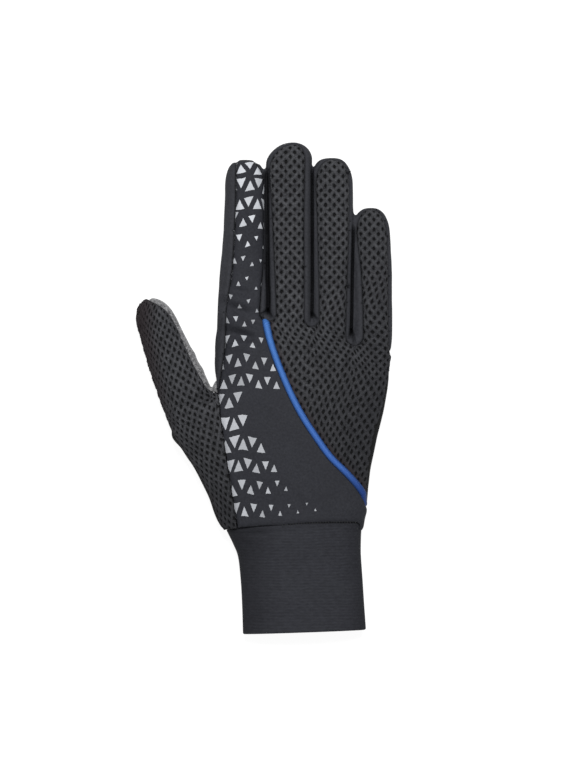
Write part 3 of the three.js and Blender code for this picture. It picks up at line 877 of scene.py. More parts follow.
def print_points():
    """Where the triangles lie on the flat, as a mesh of points with their sizes and turns."""
    rows = []
    for count, (y, down_x, height, loss, width, last, light, offset, fall) in enumerate(PRINT_ROWS):
        first = int(np.ceil((PRINT_LEFT - down_x) / (PRINT_PITCH / 2)))
        x = down_x + first * PRINT_PITCH / 2
        step = first
        while x < last:
            size = max(height - loss * max(x - PRINT_SHRINKS_FROM, 0.0), PRINT_SMALLEST)
            down = step % 2 == 0
            spot = Vector((x * INK_NOISE_X, y * INK_NOISE_Y, count))
            sideways, upwards, twist = (
                noise.noise(spot + Vector(shift)) * INK_JITTER for shift in INK_SHIFTS
            )
            lift = (offset if down else -offset) - fall * (x - PRINT_SLANTS_FROM)
            rows.append((x + sideways, y + lift + upwards, size * width, size,
                         np.pi * down + twist * INK_TURN, light * (1 + twist * INK_FADE)))
            step += 1
            x += PRINT_PITCH / 2
    points = mesh_object("print points", [(x, y, 0.0) for x, y, *_ in rows], [])
    for k, name in enumerate(("width", "height", "turn", "light")):
        values = points.data.attributes.new(name, "FLOAT", "POINT")
        values.data.foreach_set("value", [row[k + 2] for row in rows])
    return points


def print_tree():
    """A thin triangle of ink on every point."""
    nodes, given = new_tree("screen print", Unit="Float", Thickness="Float", Ink="Material")
    disc = nodes.wire("GeometryNodeMeshCircle", settings={"fill_type": "NGON"}, Vertices=3, Radius=1.0)
    fine = nodes.wire("GeometryNodeSubdivideMesh", Mesh=disc, Level=PRINT_DIVISIONS)
    film = nodes.wire("GeometryNodeExtrudeMesh", Mesh=fine, Offset_Scale=given["Thickness"],
                      Individual=False)
    width, height, turn = (
        nodes.wire("GeometryNodeInputNamedAttribute", settings={"data_type": "FLOAT"}, Name=name)
        for name in ("width", "height", "turn")
    )
    size = nodes.wire("ShaderNodeCombineXYZ", X=height * given["Unit"] * (2 / 3),
                      Y=width * given["Unit"] * 3 ** -0.5, Z=1.0)
    spin = nodes.wire("ShaderNodeCombineXYZ", Z=turn + np.pi / 2)
    laid = nodes.wire("GeometryNodeInstanceOnPoints", Points=given["Geometry"], Instance=film,
                      Scale=size, Rotation=spin)
    return end_tree(nodes, laid, given["Ink"])


INK_DARK = (0.02, 0.02, 0.022, 1.0)
INK_LIGHT = (0.44, 0.455, 0.485, 1.0)


def ink():
    """Light grey reflective ink, a little mottled where the cloth shows through."""
    print_ink = Finish("light grey ink", Roughness=0.5, Specular_IOR_Level=0.3)
    grain = print_ink.mottle(print_ink.place(), 1300.0, roughness=0.65)
    light = print_ink.mark("light")
    print_ink.paint(print_ink.mix(light * light * (grain * 0.5 + 0.72), INK_DARK, INK_LIGHT))
    print_ink.emboss(grain, strength=0.25, distance=0.0001)
    return print_ink.material


print_flat = flattened(print_sheet, 0.0, [PRINT_MIDDLE], PRINT_LEVEL)
marks = print_points()
grey_ink = ink()
films = run_tree(marks, print_tree(), "films", Unit=MM, Thickness=INK_THICKNESS * MM, Ink=grey_ink)
print_boundary = inset(boundary_outline(print_sheet.data, print_flat), INK_MARGIN)
print_edge = prism("print edge", print_boundary, -FLAT_DEPTH, FLAT_DEPTH)
triangles = carved(films, "print_triangles_ink", ("INTERSECT", print_edge))
discard(marks, films, print_edge)
laid_on(triangles, print_sheet, print_flat, INK_RISE - INK_THICKNESS)
dress(triangles, grey_ink, "print_panel")


# The knuckle panel is spacer mesh: a black net over the backs of the middle, ring and little
# finger and the outer back of the hand, knitted to a thin dark lining a millimetre below it.

MIDDLE_RING_CROTCH = ((23.8, 34.0), 3.5)
RING_PINKY_CROTCH = ((45.3, 25.0), 4.2)
# the seam up one side of a finger, round its tip and down its other side
MIDDLE_SEAM = [
    (5.6, 50.0), (4.7, 66.0), (3.9, 84.0), (3.0, 98.0), (2.5, 106.0), (3.1, 111.4), (4.9, 115.8),
    (7.6, 118.7), (11.2, 120.7), (15.2, 121.4), (18.5, 120.0), (20.4, 115.3), (20.5, 108.0),
    (20.1, 80.0), (20.3, 50.0),
]
RING_SEAM = [
    (27.2, 50.0), (26.8, 66.0), (26.3, 84.0), (25.6, 97.0), (25.8, 104.5), (27.8, 110.0),
    (31.4, 113.3), (36.4, 113.5), (40.4, 111.0), (42.4, 105.0), (42.8, 97.0), (42.6, 78.0),
    (42.1, 60.0), (41.4, 42.0),
]
PINKY_SEAM = [
    (49.3, 42.0), (48.6, 55.0), (47.3, 66.0), (46.2, 75.0), (46.4, 81.0), (48.2, 86.0),
    (51.4, 88.9), (54.9, 88.9), (58.6, 86.0), (60.9, 80.7), (61.8, 72.0), (62.2, 58.0),
    (62.3, 40.0), (62.5, 26.0), (63.0, 18.0), (65.0, 12.0),
]

knuckle_outline = np.vstack([
    arc(*INDEX_MIDDLE_CROTCH, PIPING_MEETS_ARC, 360),
    seam(MIDDLE_SEAM), arc(*MIDDLE_RING_CROTCH, 180, 360),
    seam(RING_SEAM), arc(*RING_PINKY_CROTCH, 180, 360), seam(PINKY_SEAM),
    [(OUTSIDE, 10.0), (OUTSIDE, -60.4), (54.0, -60.4)], seam(PIPING_SEAM)[1:][::-1],
])
knuckle_sheet = upper_sheet("knuckle sheet", knuckle_outline)

LINING_THICKNESS, LINING_SINK = 0.6, 0.35
knuckle_lining = sewn(knuckle_sheet, "knuckle_mesh_lining", LINING_THICKNESS, LINING_SINK)

NET_ACROSS, NET_ALONG = 4.4, 4.8
# each finger's middle, and how far down it is the nearest place where the cloth lies level
FINGER_MIDDLES = [(12.6, 30.0), (34.0, -90.0), (54.2, 22.0)]
KNUCKLE_LEVEL = 55.0
NET_SIDES = 12
NET_CELL_HOLE = (0.21, 0.245)
NET_THICKNESS = 0.5
NET_RISE = 0.1
NET_MARGIN = 0.1
NET_UNEVENNESS = 0.9
# how far each ring of the cell lies from its edge (0) to its hole (1), and its height
NET_RINGS = [(0.0, 0.0), (0.45, -0.02), (0.8, -0.1), (1.0, -0.3)]


def diamond(angle):
    """The point of the unit diamond in a direction."""
    x, y = np.cos(angle), np.sin(angle)
    return np.column_stack([x, y]) / (2 * (np.abs(x) + np.abs(y)))[:, None]


def net_cell():
    """One cell of the net, a unit wide and long: a sunk round hole in a diamond of thread."""
    angle = np.arange(NET_SIDES) * 2 * np.pi / NET_SIDES
    rim = np.column_stack([np.cos(angle), np.sin(angle)]) * NET_CELL_HOLE
    rings = [np.column_stack([diamond(angle) * (1 - t) + rim * t, np.full(NET_SIDES, z * MM)])
             for t, z in NET_RINGS]
    mesh = bpy.data.meshes.new("net cell")
    mesh.from_pydata([tuple(v) for v in np.vstack(rings)], [], quads(len(rings), NET_SIDES))
    # how far each point lies towards its hole; the yarn gets painted shade round the hole by it
    depth = mesh.attributes.new("depth", "FLOAT", "POINT")
    depth.data.foreach_set("value", np.repeat([t for t, _ in NET_RINGS], NET_SIDES))
    mesh.flip_normals()
    return placed("net cell", mesh)


def net_tree():
    """Lays staggered rows of cells side by side and joins their threads."""
    nodes, given = new_tree("flat net", Cell="Object", Across="Float", Along="Float", Columns="Int",
                            Rows="Int", Unevenness="Float", Thread="Material")
    row_step = given["Along"] * 0.5
    width = (given["Columns"] - 1) * given["Across"]
    length = (given["Rows"] - 1) * row_step
    grid = nodes.wire("GeometryNodeMeshGrid", Size_X=width, Size_Y=length,
                      Vertices_X=given["Columns"], Vertices_Y=given["Rows"])
    position = nodes.wire("GeometryNodeInputPosition")
    _, y, _ = nodes.split(position)
    row = nodes.math("ROUND", nodes.math("DIVIDE", y + length * 0.5, row_step))
    shift = nodes.math("MODULO", row, 2.0) * given["Across"] * 0.5
    staggered = nodes.wire("GeometryNodeSetPosition", Geometry=grid,
                           Offset=nodes.wire("ShaderNodeCombineXYZ", X=shift))
    cell = Wire(nodes, nodes.add("GeometryNodeObjectInfo", Object=given["Cell"]).outputs["Geometry"])
    size = nodes.wire("ShaderNodeCombineXYZ", X=given["Across"], Y=given["Along"], Z=1.0)
    laid = nodes.wire("GeometryNodeInstanceOnPoints", Points=staggered, Instance=cell, Scale=size)
    joined_net = nodes.wire("GeometryNodeMergeByDistance", Distance=0.00003,
                            Geometry=nodes.wire("GeometryNodeRealizeInstances", Geometry=laid))
    noise_at = nodes.add("ShaderNodeTexNoise", Vector=position, Scale=330.0, Detail=2.0)
    centred = nodes.wire("ShaderNodeVectorMath", settings={"operation": "SUBTRACT"},
                         s0=Wire(nodes, noise_at.outputs["Color"]), s1=(0.5, 0.5, 0.5))
    drift = nodes.wire("ShaderNodeVectorMath", settings={"operation": "SCALE"},
                       s0=centred, Scale=given["Unevenness"])
    uneven = nodes.wire("GeometryNodeSetPosition", Geometry=joined_net, Offset=drift)
    return end_tree(nodes, uneven, given["Thread"])


def spacer_net(name, sheet, flat, thread):
    """The net of a mesh panel: knitted flat, cut to the panel's outline and laid over the form."""
    outline = boundary_outline(sheet.data, flat)
    low, high = flat.min(axis=0), flat.max(axis=0)
    plate = mesh_object("plate", [(0, 0, 0), (1, 0, 0), (0, 1, 0)], [(0, 1, 2)])
    cell = net_cell()
    span = high - low + 4 * NET_ALONG
    columns, rows = int(span[0] / NET_ACROSS) + 1, int(2 * span[1] / NET_ALONG) + 1
    knitted = run_tree(plate, net_tree(), "knitted", Cell=cell, Across=NET_ACROSS * MM,
                       Along=NET_ALONG * MM, Columns=columns, Rows=rows,
                       Unevenness=NET_UNEVENNESS * MM, Thread=thread)
    points = coordinates(knitted.data)
    points[:, :2] += (low + high) / 2
    move_points(knitted.data, points)
    wall = knitted.modifiers.new("thickness", "SOLIDIFY")
    wall.thickness = NET_THICKNESS * MM
    wall.offset = -1
    closed = evaluated(knitted, "closed net")
    cutter = prism("net outline", inset(outline, NET_MARGIN), -FLAT_DEPTH, FLAT_DEPTH)
    net = carved(closed, name, ("INTERSECT", cutter))
    discard(plate, cell, knitted, closed, cutter)
    laid_on(net, sheet, flat, NET_RISE)
    net.data.shade_smooth()
    return net


def even_steps(line, step):
    """The line with points a step apart."""
    line = np.asarray(line, float)
    walked = np.concatenate([[0], np.cumsum(np.linalg.norm(np.diff(line, axis=0), axis=1))])
    wanted = np.linspace(0, walked[-1], int(walked[-1] / step) + 1)
    return np.column_stack([np.interp(wanted, walked, line[:, k]) for k in range(line.shape[1])])


def nearest_on(points, line):
    """How far each point is, seen from above, from the nearest point of a line, and which it is."""
    tree = KDTree(len(line))
    for i, (x, y) in enumerate(line):
        tree.insert((x, y, 0.0), i)
    tree.balance()
    found = [tree.find((p[0], p[1], 0.0)) for p in points]
    return np.array([f[2] for f in found]), np.array([f[1] for f in found])


def pressed_and_shaded(net, line, flat, fading):
    """Marks how much the net is flattened and in painted shade beside a line: how far, and then fading how
    far.
    """
    distance, _ = nearest_on(coordinates(net.data), even_steps(seam(line), 1.0))
    mark = net.data.attributes.new("pressed_and_shaded", "FLOAT", "POINT")
    mark.data.foreach_set("value", 1 - eased((distance - flat) / fading))


YARN_BLACK = (0.006, 0.006, 0.007, 1.0)
YARN_LIT = (0.077, 0.079, 0.086, 1.0)
YARN_SHADED = (0.006, 0.006, 0.008, 1.0)
# the brownish tint of flattened yarn, darkened further as painted shade
YARN_PRESSED_AND_SHADED = (0.0195, 0.015, 0.0165, 1.0)
# near black: the lining's own dark colour with painted shade of the holes
LINING_DARK = (0.0015, 0.0015, 0.0017, 1.0)
LINING_LIT = (0.004, 0.004, 0.0045, 1.0)


def net_thread():
    """Textured black yarn, matte, with lighter and darker strands. It has painted shade round its
    holes and down the outer edge of the hand, and it darkens towards the wrist."""
    yarn = Finish("black net yarn", Roughness=0.75, Specular_IOR_Level=0.08)
    place = yarn.place()
    fibres = yarn.mottle(place, 1900.0, 4.0, 0.7)
    strands = yarn.mottle(place, 420.0, 2.0)
    depth = yarn.mark("depth")
    # painted shade round the holes, darkest at their rims
    shade = (fibres * 1.7 + strands * 0.9 - 0.83) * (1.0 - depth * depth * 0.65)
    black = yarn.mix(shade, YARN_BLACK, YARN_LIT)
    x, y, _ = yarn.split(place)
    # painted shade down the outer edge of the hand, where it turns away from the light
    edge = yarn.ramp(y - x * 1.6, -0.1, 0.012, 0.46, 0.0)
    wrist = yarn.ramp(y + x * 0.8, -0.08, -0.03, 0.3, 0.0)
    darker = yarn.mix(wrist, yarn.mix(edge, black, YARN_SHADED), YARN_BLACK)
    # beside the piping and the thumb's outer edge: the flattened cloth's tint with painted shade
    yarn.paint(yarn.mix(yarn.mark("pressed_and_shaded") * 0.85, darker, YARN_PRESSED_AND_SHADED))
    yarn.emboss(fibres + strands * 0.5, strength=0.7, distance=0.0003)
    return yarn.material


def lining_cloth():
    """The dark knit at the bottom of the mesh's holes: its own dark colour, deepened as painted shade."""
    cloth = Finish("dark mesh lining", Roughness=0.9, Specular_IOR_Level=0.2)
    cloth.paint(cloth.mix(cloth.mottle(cloth.place(), 1600.0), LINING_DARK, LINING_LIT))
    return cloth.material


# where the crotches gather the net: x, y, direction in degrees, half the width and half the length
# of the place, and the extra cloth in it
NET_GATHERS = [
    (46.6, 16.0, 38.0, 5.5, 12.0, 4.6), (27.0, 24.0, 25.0, 8.0, 10.0, 4.0),
    (9.5, 26.5, 20.0, 6.0, 9.0, 2.4),
]
# the lean of the net below one y and beyond one x, and over what width it comes in
NET_LEAN, NET_LEANS_BELOW, NET_LEANS_BEYOND, NET_LEAN_OVER = 0.19, 20.0, 12.0, 40.0
# how much longer it is drawn below one y, and how it droops below another y, about a middle x
NET_PULL, NET_PULLS_BELOW = 0.09, 22.0
NET_DROOP, NET_DROOPS_BELOW, NET_DROOP_MIDDLE = 0.07, 30.0, 34.0


def drawn_narrow(flat):
    """On the back of the hand the net is pulled long, leans with the hand's edge and is gathered."""
    x, y = flat[:, 0], flat[:, 1]
    lean = NET_LEAN * np.maximum(NET_LEANS_BELOW - y, 0.0)
    u = x + lean * eased((x - NET_LEANS_BEYOND) / NET_LEAN_OVER)
    droop = NET_DROOP * (x - NET_DROOP_MIDDLE) * eased((NET_DROOPS_BELOW - y) / NET_DROOPS_BELOW)
    v = y - np.minimum(y - NET_PULLS_BELOW, 0.0) * NET_PULL - droop
    drawn = np.column_stack([u, v])
    for x0, y0, degrees, width, length, extra in NET_GATHERS:
        place = turned(flat - (x0, y0), -degrees)
        push = extra * np.tanh(place[:, 0] / width) * np.exp(-((place[:, 1] / length) ** 2))
        drawn += turned(np.column_stack([push, np.zeros(len(push))]), degrees)
    return drawn


net_yarn = net_thread()
mesh_lining = lining_cloth()
dress(knuckle_lining, mesh_lining, "knuckle_mesh_panel")
knuckle_flat = flattened(knuckle_sheet, 0.0, FINGER_MIDDLES, KNUCKLE_LEVEL)
knuckle_net = spacer_net("knuckle_mesh_net", knuckle_sheet, drawn_narrow(knuckle_flat), net_yarn)
pressed_and_shaded(knuckle_net, PIPING_SEAM, flat=1.5, fading=3.5)
dress(knuckle_net, net_yarn, "knuckle_mesh_panel")


# The thumb panel is the same spacer mesh, cut along the thumb. It covers the back of the thumb
# and the side of the hand down to the cuff.

THUMB_GRAIN = 19.0
THUMB_MIDDLE, THUMB_LEVEL = (-34.0, -200.0), 10.0
THUMB_FULLNESS, THUMB_STRETCH = 1.7, (0.98, 0.95)
# a line just outside the thumb, and the cloth that is gathered towards it
THUMB_EDGE = [
    (-66.0, 44.0), (-66.5, 28.0), (-63.5, 8.0), (-60.5, -8.0), (-58.5, -21.0), (-52.0, -36.0),
    (-43.0, -50.0), (-36.0, -63.0), (-32.0, -77.0),
]
THUMB_GATHER, THUMB_GATHER_REACH = 31.0, 7.0
THUMB_LEAN, THUMB_LEAN_FROM = 0.18, -12.0

thumb_outline = np.vstack([
    seam(THUMB_TIP_SEAM), seam(THUMB_SEAM)[1:], [(-11.6, -82.0), (-OUTSIDE, -82.0), (-OUTSIDE, 47.0)],
])
thumb_sheet = upper_sheet("thumb sheet", thumb_outline)
thumb_lining = sewn(thumb_sheet, "thumb_mesh_lining", LINING_THICKNESS, LINING_SINK / 2)
dress(thumb_lining, mesh_lining, "thumb_mesh_panel")


def gathered_thumb(flat):
    """Adds cloth towards the outer edge of the thumb, where the net is drawn together, and leans
    the net towards the wrist."""
    points = coordinates(thumb_sheet.data)
    edge = even_steps(seam(THUMB_EDGE), 1.0)
    distance, nearest = nearest_on(points, edge)
    push = (edge[nearest] - points[:, :2]) / distance[:, None]
    extra = THUMB_GATHER * np.exp(-distance / THUMB_GATHER_REACH)
    gathered = flat + turned(push, -THUMB_GRAIN) * extra[:, None]
    gathered[:, 0] -= THUMB_LEAN * np.maximum(THUMB_LEAN_FROM - points[:, 1], 0)
    return gathered


thumb_flat = flattened(thumb_sheet, THUMB_GRAIN, [THUMB_MIDDLE], THUMB_LEVEL, THUMB_FULLNESS)
thumb_flat = gathered_thumb(thumb_flat) * THUMB_STRETCH
thumb_net = spacer_net("thumb_mesh_net", thumb_sheet, thumb_flat, net_yarn)
pressed_and_shaded(thumb_net, THUMB_EDGE, flat=5.0, fading=11.0)
dress(thumb_net, net_yarn, "thumb_mesh_panel")


# The gussets are strips of the black jersey along the sides of the fingers. Between two fingers
# one strip runs down one side, round the crotch and up the other.

GUSSETS = [
    ("index_side_gusset", -25.0), ("index_middle_gusset", 2.0), ("middle_ring_gusset", 23.8),
    ("ring_pinky_gusset", 45.3), ("pinky_side_gusset", 62.0),
]
CRUMB_FACES = 60
# the creases where the sides of two fingers touch, each with half its width; painted shade darkens them
CLEFTS = [
    (1.25, [(1.9, 35.4), (2.2, 45.0), (1.8, 56.0), (1.6, 75.0), (1.4, 95.0), (1.3, 110.0)]),
    (0.9, [(23.9, 33.4), (24.1, 50.0), (24.1, 80.0), (24.1, 100.0), (24.1, 111.0)]),
    (0.9, [(43.5, 24.4), (43.9, 40.0), (44.2, 60.0), (44.5, 72.0), (44.7, 82.0)]),
]
CLEFT_DEPTH = 4.5
CLEFT_STEP = 0.5
# over what length a cleft deepens at the crotch, and runs out at the tips
CLEFT_STARTS_OVER, CLEFT_ENDS_OVER = 2.5, 5.0
# how dark the painted shade is where a strip turns in at its seam, and how far from the seam that goes
SEAM_SHADOW, SEAM_SHADOW_WIDTH = 0.75, 0.9
# the short creases that they end in: from x, y to x, y, half width and depth
PINCHES = [
    (1.9, 38.4, -1.4, 35.8, 0.7, 2.4), (2.0, 38.0, 3.6, 35.0, 0.7, 2.4),
    (24.0, 36.5, 26.2, 33.8, 0.7, 2.0), (43.5, 28.5, 45.4, 22.0, 0.7, 2.0),
    (43.4, 28.0, 42.4, 24.8, 0.6, 1.4),
]
# how a pinch fades along its length, and how dark its painted shade is
PINCH_FADE, PINCH_SHADE = 0.4, 0.7
# where two strips meet at a fingertip: from x, y to x, y, and the gap between them
TIP_JOINS = [(11.0, 118.0, 9.6, 126.0), (34.0, 111.0, 34.0, 118.0), (53.8, 87.0, 53.4, 93.0)]
JOIN_GAP = 0.14


def join_outline(x0, y0, x1, y1):
    half = JOIN_GAP / 2
    return [(x0 - half, y0), (x0 + half, y0), (x1 + half, y1), (x1 - half, y1)]


upper_half = prism("upper half", all_round, above_palm)
panel_outlines = [print_outline, knuckle_outline, thumb_outline, thumb_inner_outline]
cutters = [prism("panel", inset(outline, -SEAM_GAP / 2)) for outline in panel_outlines]
cutters += [prism("join", join_outline(*join)) for join in TIP_JOINS]
strips = patch("strips", ("INTERSECT", upper_half), *[("DIFFERENCE", cutter) for cutter in cutters])


def islands(obj):
    """The separate pieces of a mesh, each as its own object."""
    shape = bmesh.new()
    shape.from_mesh(obj.data)
    shape.verts.ensure_lookup_table()
    waiting = dict.fromkeys(shape.verts)
    pieces = []
    while waiting:
        front = [waiting.popitem()[0]]
        island = set(front)
        while front:
            near = {e.other_vert(v) for v in front for e in v.link_edges} - island
            island |= near
            front = list(near)
        for vertex in island:
            waiting.pop(vertex, None)
        pieces.append({v.index for v in island})
    shape.free()
    made = []
    for members in pieces:
        copy = obj.data.copy()
        shape = bmesh.new()
        shape.from_mesh(copy)
        others = [v for v in shape.verts if v.index not in members]
        bmesh.ops.delete(shape, geom=others, context="VERTS")
        shape.to_mesh(copy)
        shape.free()
        made.append(placed("strip", copy))
    return made


def creased(sheet):
    """Draws a sheet down along the clefts, on a mesh fine enough for them, and marks its painted shade."""
    shape = bmesh.new()
    shape.from_mesh(sheet.data)
    bmesh.ops.subdivide_edges(shape, edges=shape.edges, cuts=1, use_grid_fill=True)
    shape.to_mesh(sheet.data)
    shape.free()
    points = coordinates(sheet.data)
    seams = edge_tree(sheet.data, TIP_JOINS)
    # painted shade beside the seams, where a strip turns in
    dark = SEAM_SHADOW * np.array([max(1 - seams.find(p)[2] / SEAM_SHADOW_WIDTH, 0) for p in points])
    for width, line in CLEFTS:
        line = even_steps(seam(line), CLEFT_STEP)
        distance, nearest = nearest_on(points, line)
        place = nearest * CLEFT_STEP
        fade = eased(place / CLEFT_STARTS_OVER)
        fade *= eased((line[-1, 1] - line[0, 1] - place) / CLEFT_ENDS_OVER)
        points[:, 2] -= CLEFT_DEPTH * fade * np.clip(1 - distance / width, 0, 1)
        # painted shade in the clefts, where the sides of two fingers shade each other
        dark = np.maximum(dark, fade * np.clip(1.2 - distance / width, 0, 1))
    for *stroke, width, depth in PINCHES:
        distance, t = distance_to_stroke(points, stroke)
        groove = np.exp(-((distance / width) ** 2)) * (1 - t * PINCH_FADE)
        points[:, 2] -= depth * groove
        # painted shade in the pinches
        dark = np.maximum(dark, groove * PINCH_SHADE)
    points[:, 2] = np.maximum(points[:, 2], PALM_SEAM_HEIGHT)
    move_points(sheet.data, points)
    mark = sheet.data.attributes.new("cleft", "FLOAT", "POINT")
    mark.data.foreach_set("value", dark)
    return sheet


GUSSET_BLACK = (0.021, 0.0215, 0.025, 1.0)
GUSSET_LIT = (0.042, 0.0435, 0.05, 1.0)
gusset_jersey = jersey("black gusset jersey", GUSSET_BLACK, GUSSET_LIT)
for strip in islands(strips):
    if len(strip.data.polygons) < CRUMB_FACES:
        discard(strip)
        continue
    middle = coordinates(strip.data)[:, 0].mean()
    name = min(GUSSETS, key=lambda gusset: abs(gusset[1] - middle))[0]
    gusset = sewn(creased(strip), name + "_fabric", joins=TIP_JOINS)
    discard(strip)
    dress(gusset, gusset_jersey, name)


# The piping is a strip of blue twill folded round a thin cord and sewn into the seam between the
# print panel and the knuckle mesh. It starts at the crotch and ends at the side of the wrist.

PIPING_RADIUS = 1.8
PIPING_SINK = 0.15
PIPING_SIDES = 20
PIPING_STEP = 0.6
# it comes out from under the gusset, a little swollen and cut off at a slant
PIPING_COVERED = 2
PIPING_TUCK, PIPING_TUCK_DEPTH = 1.2, 2.2
PIPING_SWELL, PIPING_SWELL_LENGTH = 0.35, 5.0
PIPING_CUT_ROUNDING = 0.9
PIPING_CUT_SLANT, PIPING_CUT_FADES = 0.4, 4.0
# it leaves its seam some steps early, and turns down over the side of the hand: x, y and z
PIPING_LEAVES = 8
PIPING_END = [(49.7, -57.6, 13.0), (49.9, -58.8, 9.0)]
PIPING_SMOOTH_ROUNDS = 6


def swept(name, path, radii, sides):
    """A round closed tube along a path, with a UV map of its length and its way round."""
    along = np.gradient(path, axis=0)
    along /= np.linalg.norm(along, axis=1)[:, None]
    side = np.cross(along, (0.0, 0.0, 1.0))
    side /= np.linalg.norm(side, axis=1)[:, None]
    up = np.cross(side, along)
    angle = np.arange(sides) * 2 * np.pi / sides
    rings = [
        p + r * (np.outer(np.cos(angle), s) + np.outer(np.sin(angle), u))
        for p, r, s, u in zip(path, radii, side, up)
    ]
    tube = loft(name, rings)
    uv = tube.data.uv_layers.new(name="cloth").data
    for polygon in tube.data.polygons:
        around = [v % sides for v in polygon.vertices]
        wraps = max(around) - min(around) > sides / 2
        for corner, vertex, k in zip(polygon.loop_indices, polygon.vertices, around):
            turn = k + sides if wraps and k < sides / 2 else k
            uv[corner].uv = (turn / sides, vertex // sides * PIPING_STEP * MM)
    return tube


plan_path = even_steps(seam(PIPING_SEAM)[:-PIPING_LEAVES], PIPING_STEP)[PIPING_COVERED:]
piping_path = np.array([(x, y, surface_height(x, y) - PIPING_SINK) for x, y in plan_path])
tucked = np.arange(len(piping_path)) * PIPING_STEP / PIPING_TUCK
piping_path[:, 2] -= PIPING_TUCK_DEPTH * np.clip(1 - tucked, 0, 1)
piping_path = even_steps(np.vstack([piping_path, PIPING_END]), PIPING_STEP)
for _ in range(PIPING_SMOOTH_ROUNDS):
    heights = piping_path[:, 2]
    heights[1:-1] = (heights[:-2] + heights[1:-1] * 2 + heights[2:]) / 4
from_start = np.arange(len(piping_path)) * PIPING_STEP
ends = np.minimum(from_start / PIPING_CUT_ROUNDING, from_start[::-1] / PIPING_RADIUS)
radii = PIPING_RADIUS * np.sqrt(1 - (1 - np.clip(ends, 0.05, 1)) ** 2)
radii *= 1 + PIPING_SWELL * np.exp(-from_start / PIPING_SWELL_LENGTH)
piping = swept("piping_cord", piping_path, radii, PIPING_SIDES)
piping_points = coordinates(piping.data)
from_cut = piping_path[0, :2] - piping_points[:, :2]
slant = PIPING_CUT_SLANT * eased(1 - from_cut[:, 1] / PIPING_CUT_FADES)
piping_points[:, 1] += slant * from_cut[:, 0]
move_points(piping.data, piping_points)
piping.data.shade_smooth()


TWILL_RIB = 0.85
TWILL_TURNS = 7
# painted shade on the sides of the cord
TWILL_SHADED_SIDES = (0.012, 0.036, 0.12, 1.0)
# painted highlight on the cord's top at its start, further down, and in painted shade where it turned down
TWILL_START = (0.055, 0.17, 0.48, 1.0)
TWILL_LOWER = (0.04, 0.12, 0.41, 1.0)
TWILL_TURNED_DOWN = (0.014, 0.042, 0.19, 1.0)


def twill():
    """Blue polyester twill, its fine ribs slanting round the cord. It has a painted highlight along
    its top, and painted shade on its sides and where it turns down.
    """
    cloth = Finish("blue piping twill", Roughness=0.55, Specular_IOR_Level=0.15)
    around, along, _ = cloth.split(cloth.wire("ShaderNodeUVMap", settings={"uv_map": "cloth"}))
    turn = 2 * np.pi
    rib = cloth.math("SINE", along * (turn / (TWILL_RIB * MM)) + around * (turn * TWILL_TURNS))
    fuzz = cloth.mottle(cloth.place(), 1400.0)
    # painted highlight along the top of the cord, painted shade on its sides
    crest = cloth.math("SINE", around * turn)
    lit = cloth.mix(cloth.ramp(along, 0.01, 0.08), TWILL_START, TWILL_LOWER)
    lit = cloth.mix(cloth.ramp(along, 0.084, 0.1), lit, TWILL_TURNED_DOWN)
    cloth.paint(cloth.mix(rib * 0.16 + fuzz * 0.6 + crest * 1.3 - 0.88, TWILL_SHADED_SIDES, lit))
    cloth.emboss(rib * 0.5 + fuzz, strength=0.4, distance=0.0002)
    return cloth.material


dress(piping, twill(), "piping")


# The cuff is a sleeve of charcoal knit, folded double at its mouth and gathered a little where it
# is sewn to the hand.

CUFF_POWER = 2.25
CUFF_WALL = 1.6
CUFF_STEPS = 14
CUFF_HEM_RINGS = 7
# how much thicker the doubled allowance is, and how many rings below the seam it begins
CUFF_DOUBLED, CUFF_DOUBLED_FROM = 1.0, 6
# the seam allowance inside the hand: how far past the seam, and how far inwards
CUFF_TUCK = [(-0.2, 0.2), (0.3, 0.6), (1.0, 1.0), (2.6, 1.4)]
# left x, left y, right x, right y, thickness, bow, from the mouth up to the seam with the hand
CUFF = [
    (-10.6, -122.8, 51.0, -120.6, 17.6, 0.0), (-11.0, -109.2, 50.1, -108.0, 17.6, 0.0),
    (-11.7, -96.6, 49.3, -95.6, 18.0, 0.0), (-13.0, -85.0, 48.5, -84.0, 18.8, 0.1),
    (-15.4, -78.6, 48.5, -76.8, 19.6, 0.4), (-17.4, -74.4, 48.7, -71.6, 20.4, 0.9),
    (-18.9, -71.4, 49.2, -67.8, 21.2, 1.2),
]
# shallow folds beside the seam: from x, y to x, y, half width and depth
CUFF_FOLDS = [
    (-9.0, -73.6, 3.0, -73.0, 1.5, 0.8), (-13.0, -77.0, -6.0, -80.0, 1.6, 0.5),
    (8.0, -72.4, 18.0, -72.0, 1.2, 0.4), (40.0, -71.5, 47.0, -73.5, 1.4, 0.5),
    (36.0, -96.0, 47.0, -99.0, 2.4, 0.4),
]
CUFF_FOLD_END = 0.08
# unevenness of the knit: scale and height, and from what height up and over what height it comes in
CUFF_WAVE, CUFF_WAVE_HEIGHT = 0.06, 0.5
CUFF_FREE_FROM, CUFF_FREE_OVER = 8.0, 4.0
# shadows at its two sides: outer x, inner x and depth
CUFF_SHADOWS = [(-0.013, 0.012, 0.5), (0.052, 0.036, 0.4)]


def cuff_ring(row, shrink):
    left, right, height = np.array(row[:2]), np.array(row[2:4]), row[4]
    across = (right - left) / np.linalg.norm(right - left)
    points = ring(left + across * shrink, right - across * shrink, height - shrink, CUFF_POWER,
                  bow=row[5], floor=shrink)
    points[:, 2] = np.maximum(points[:, 2], shrink)
    return points


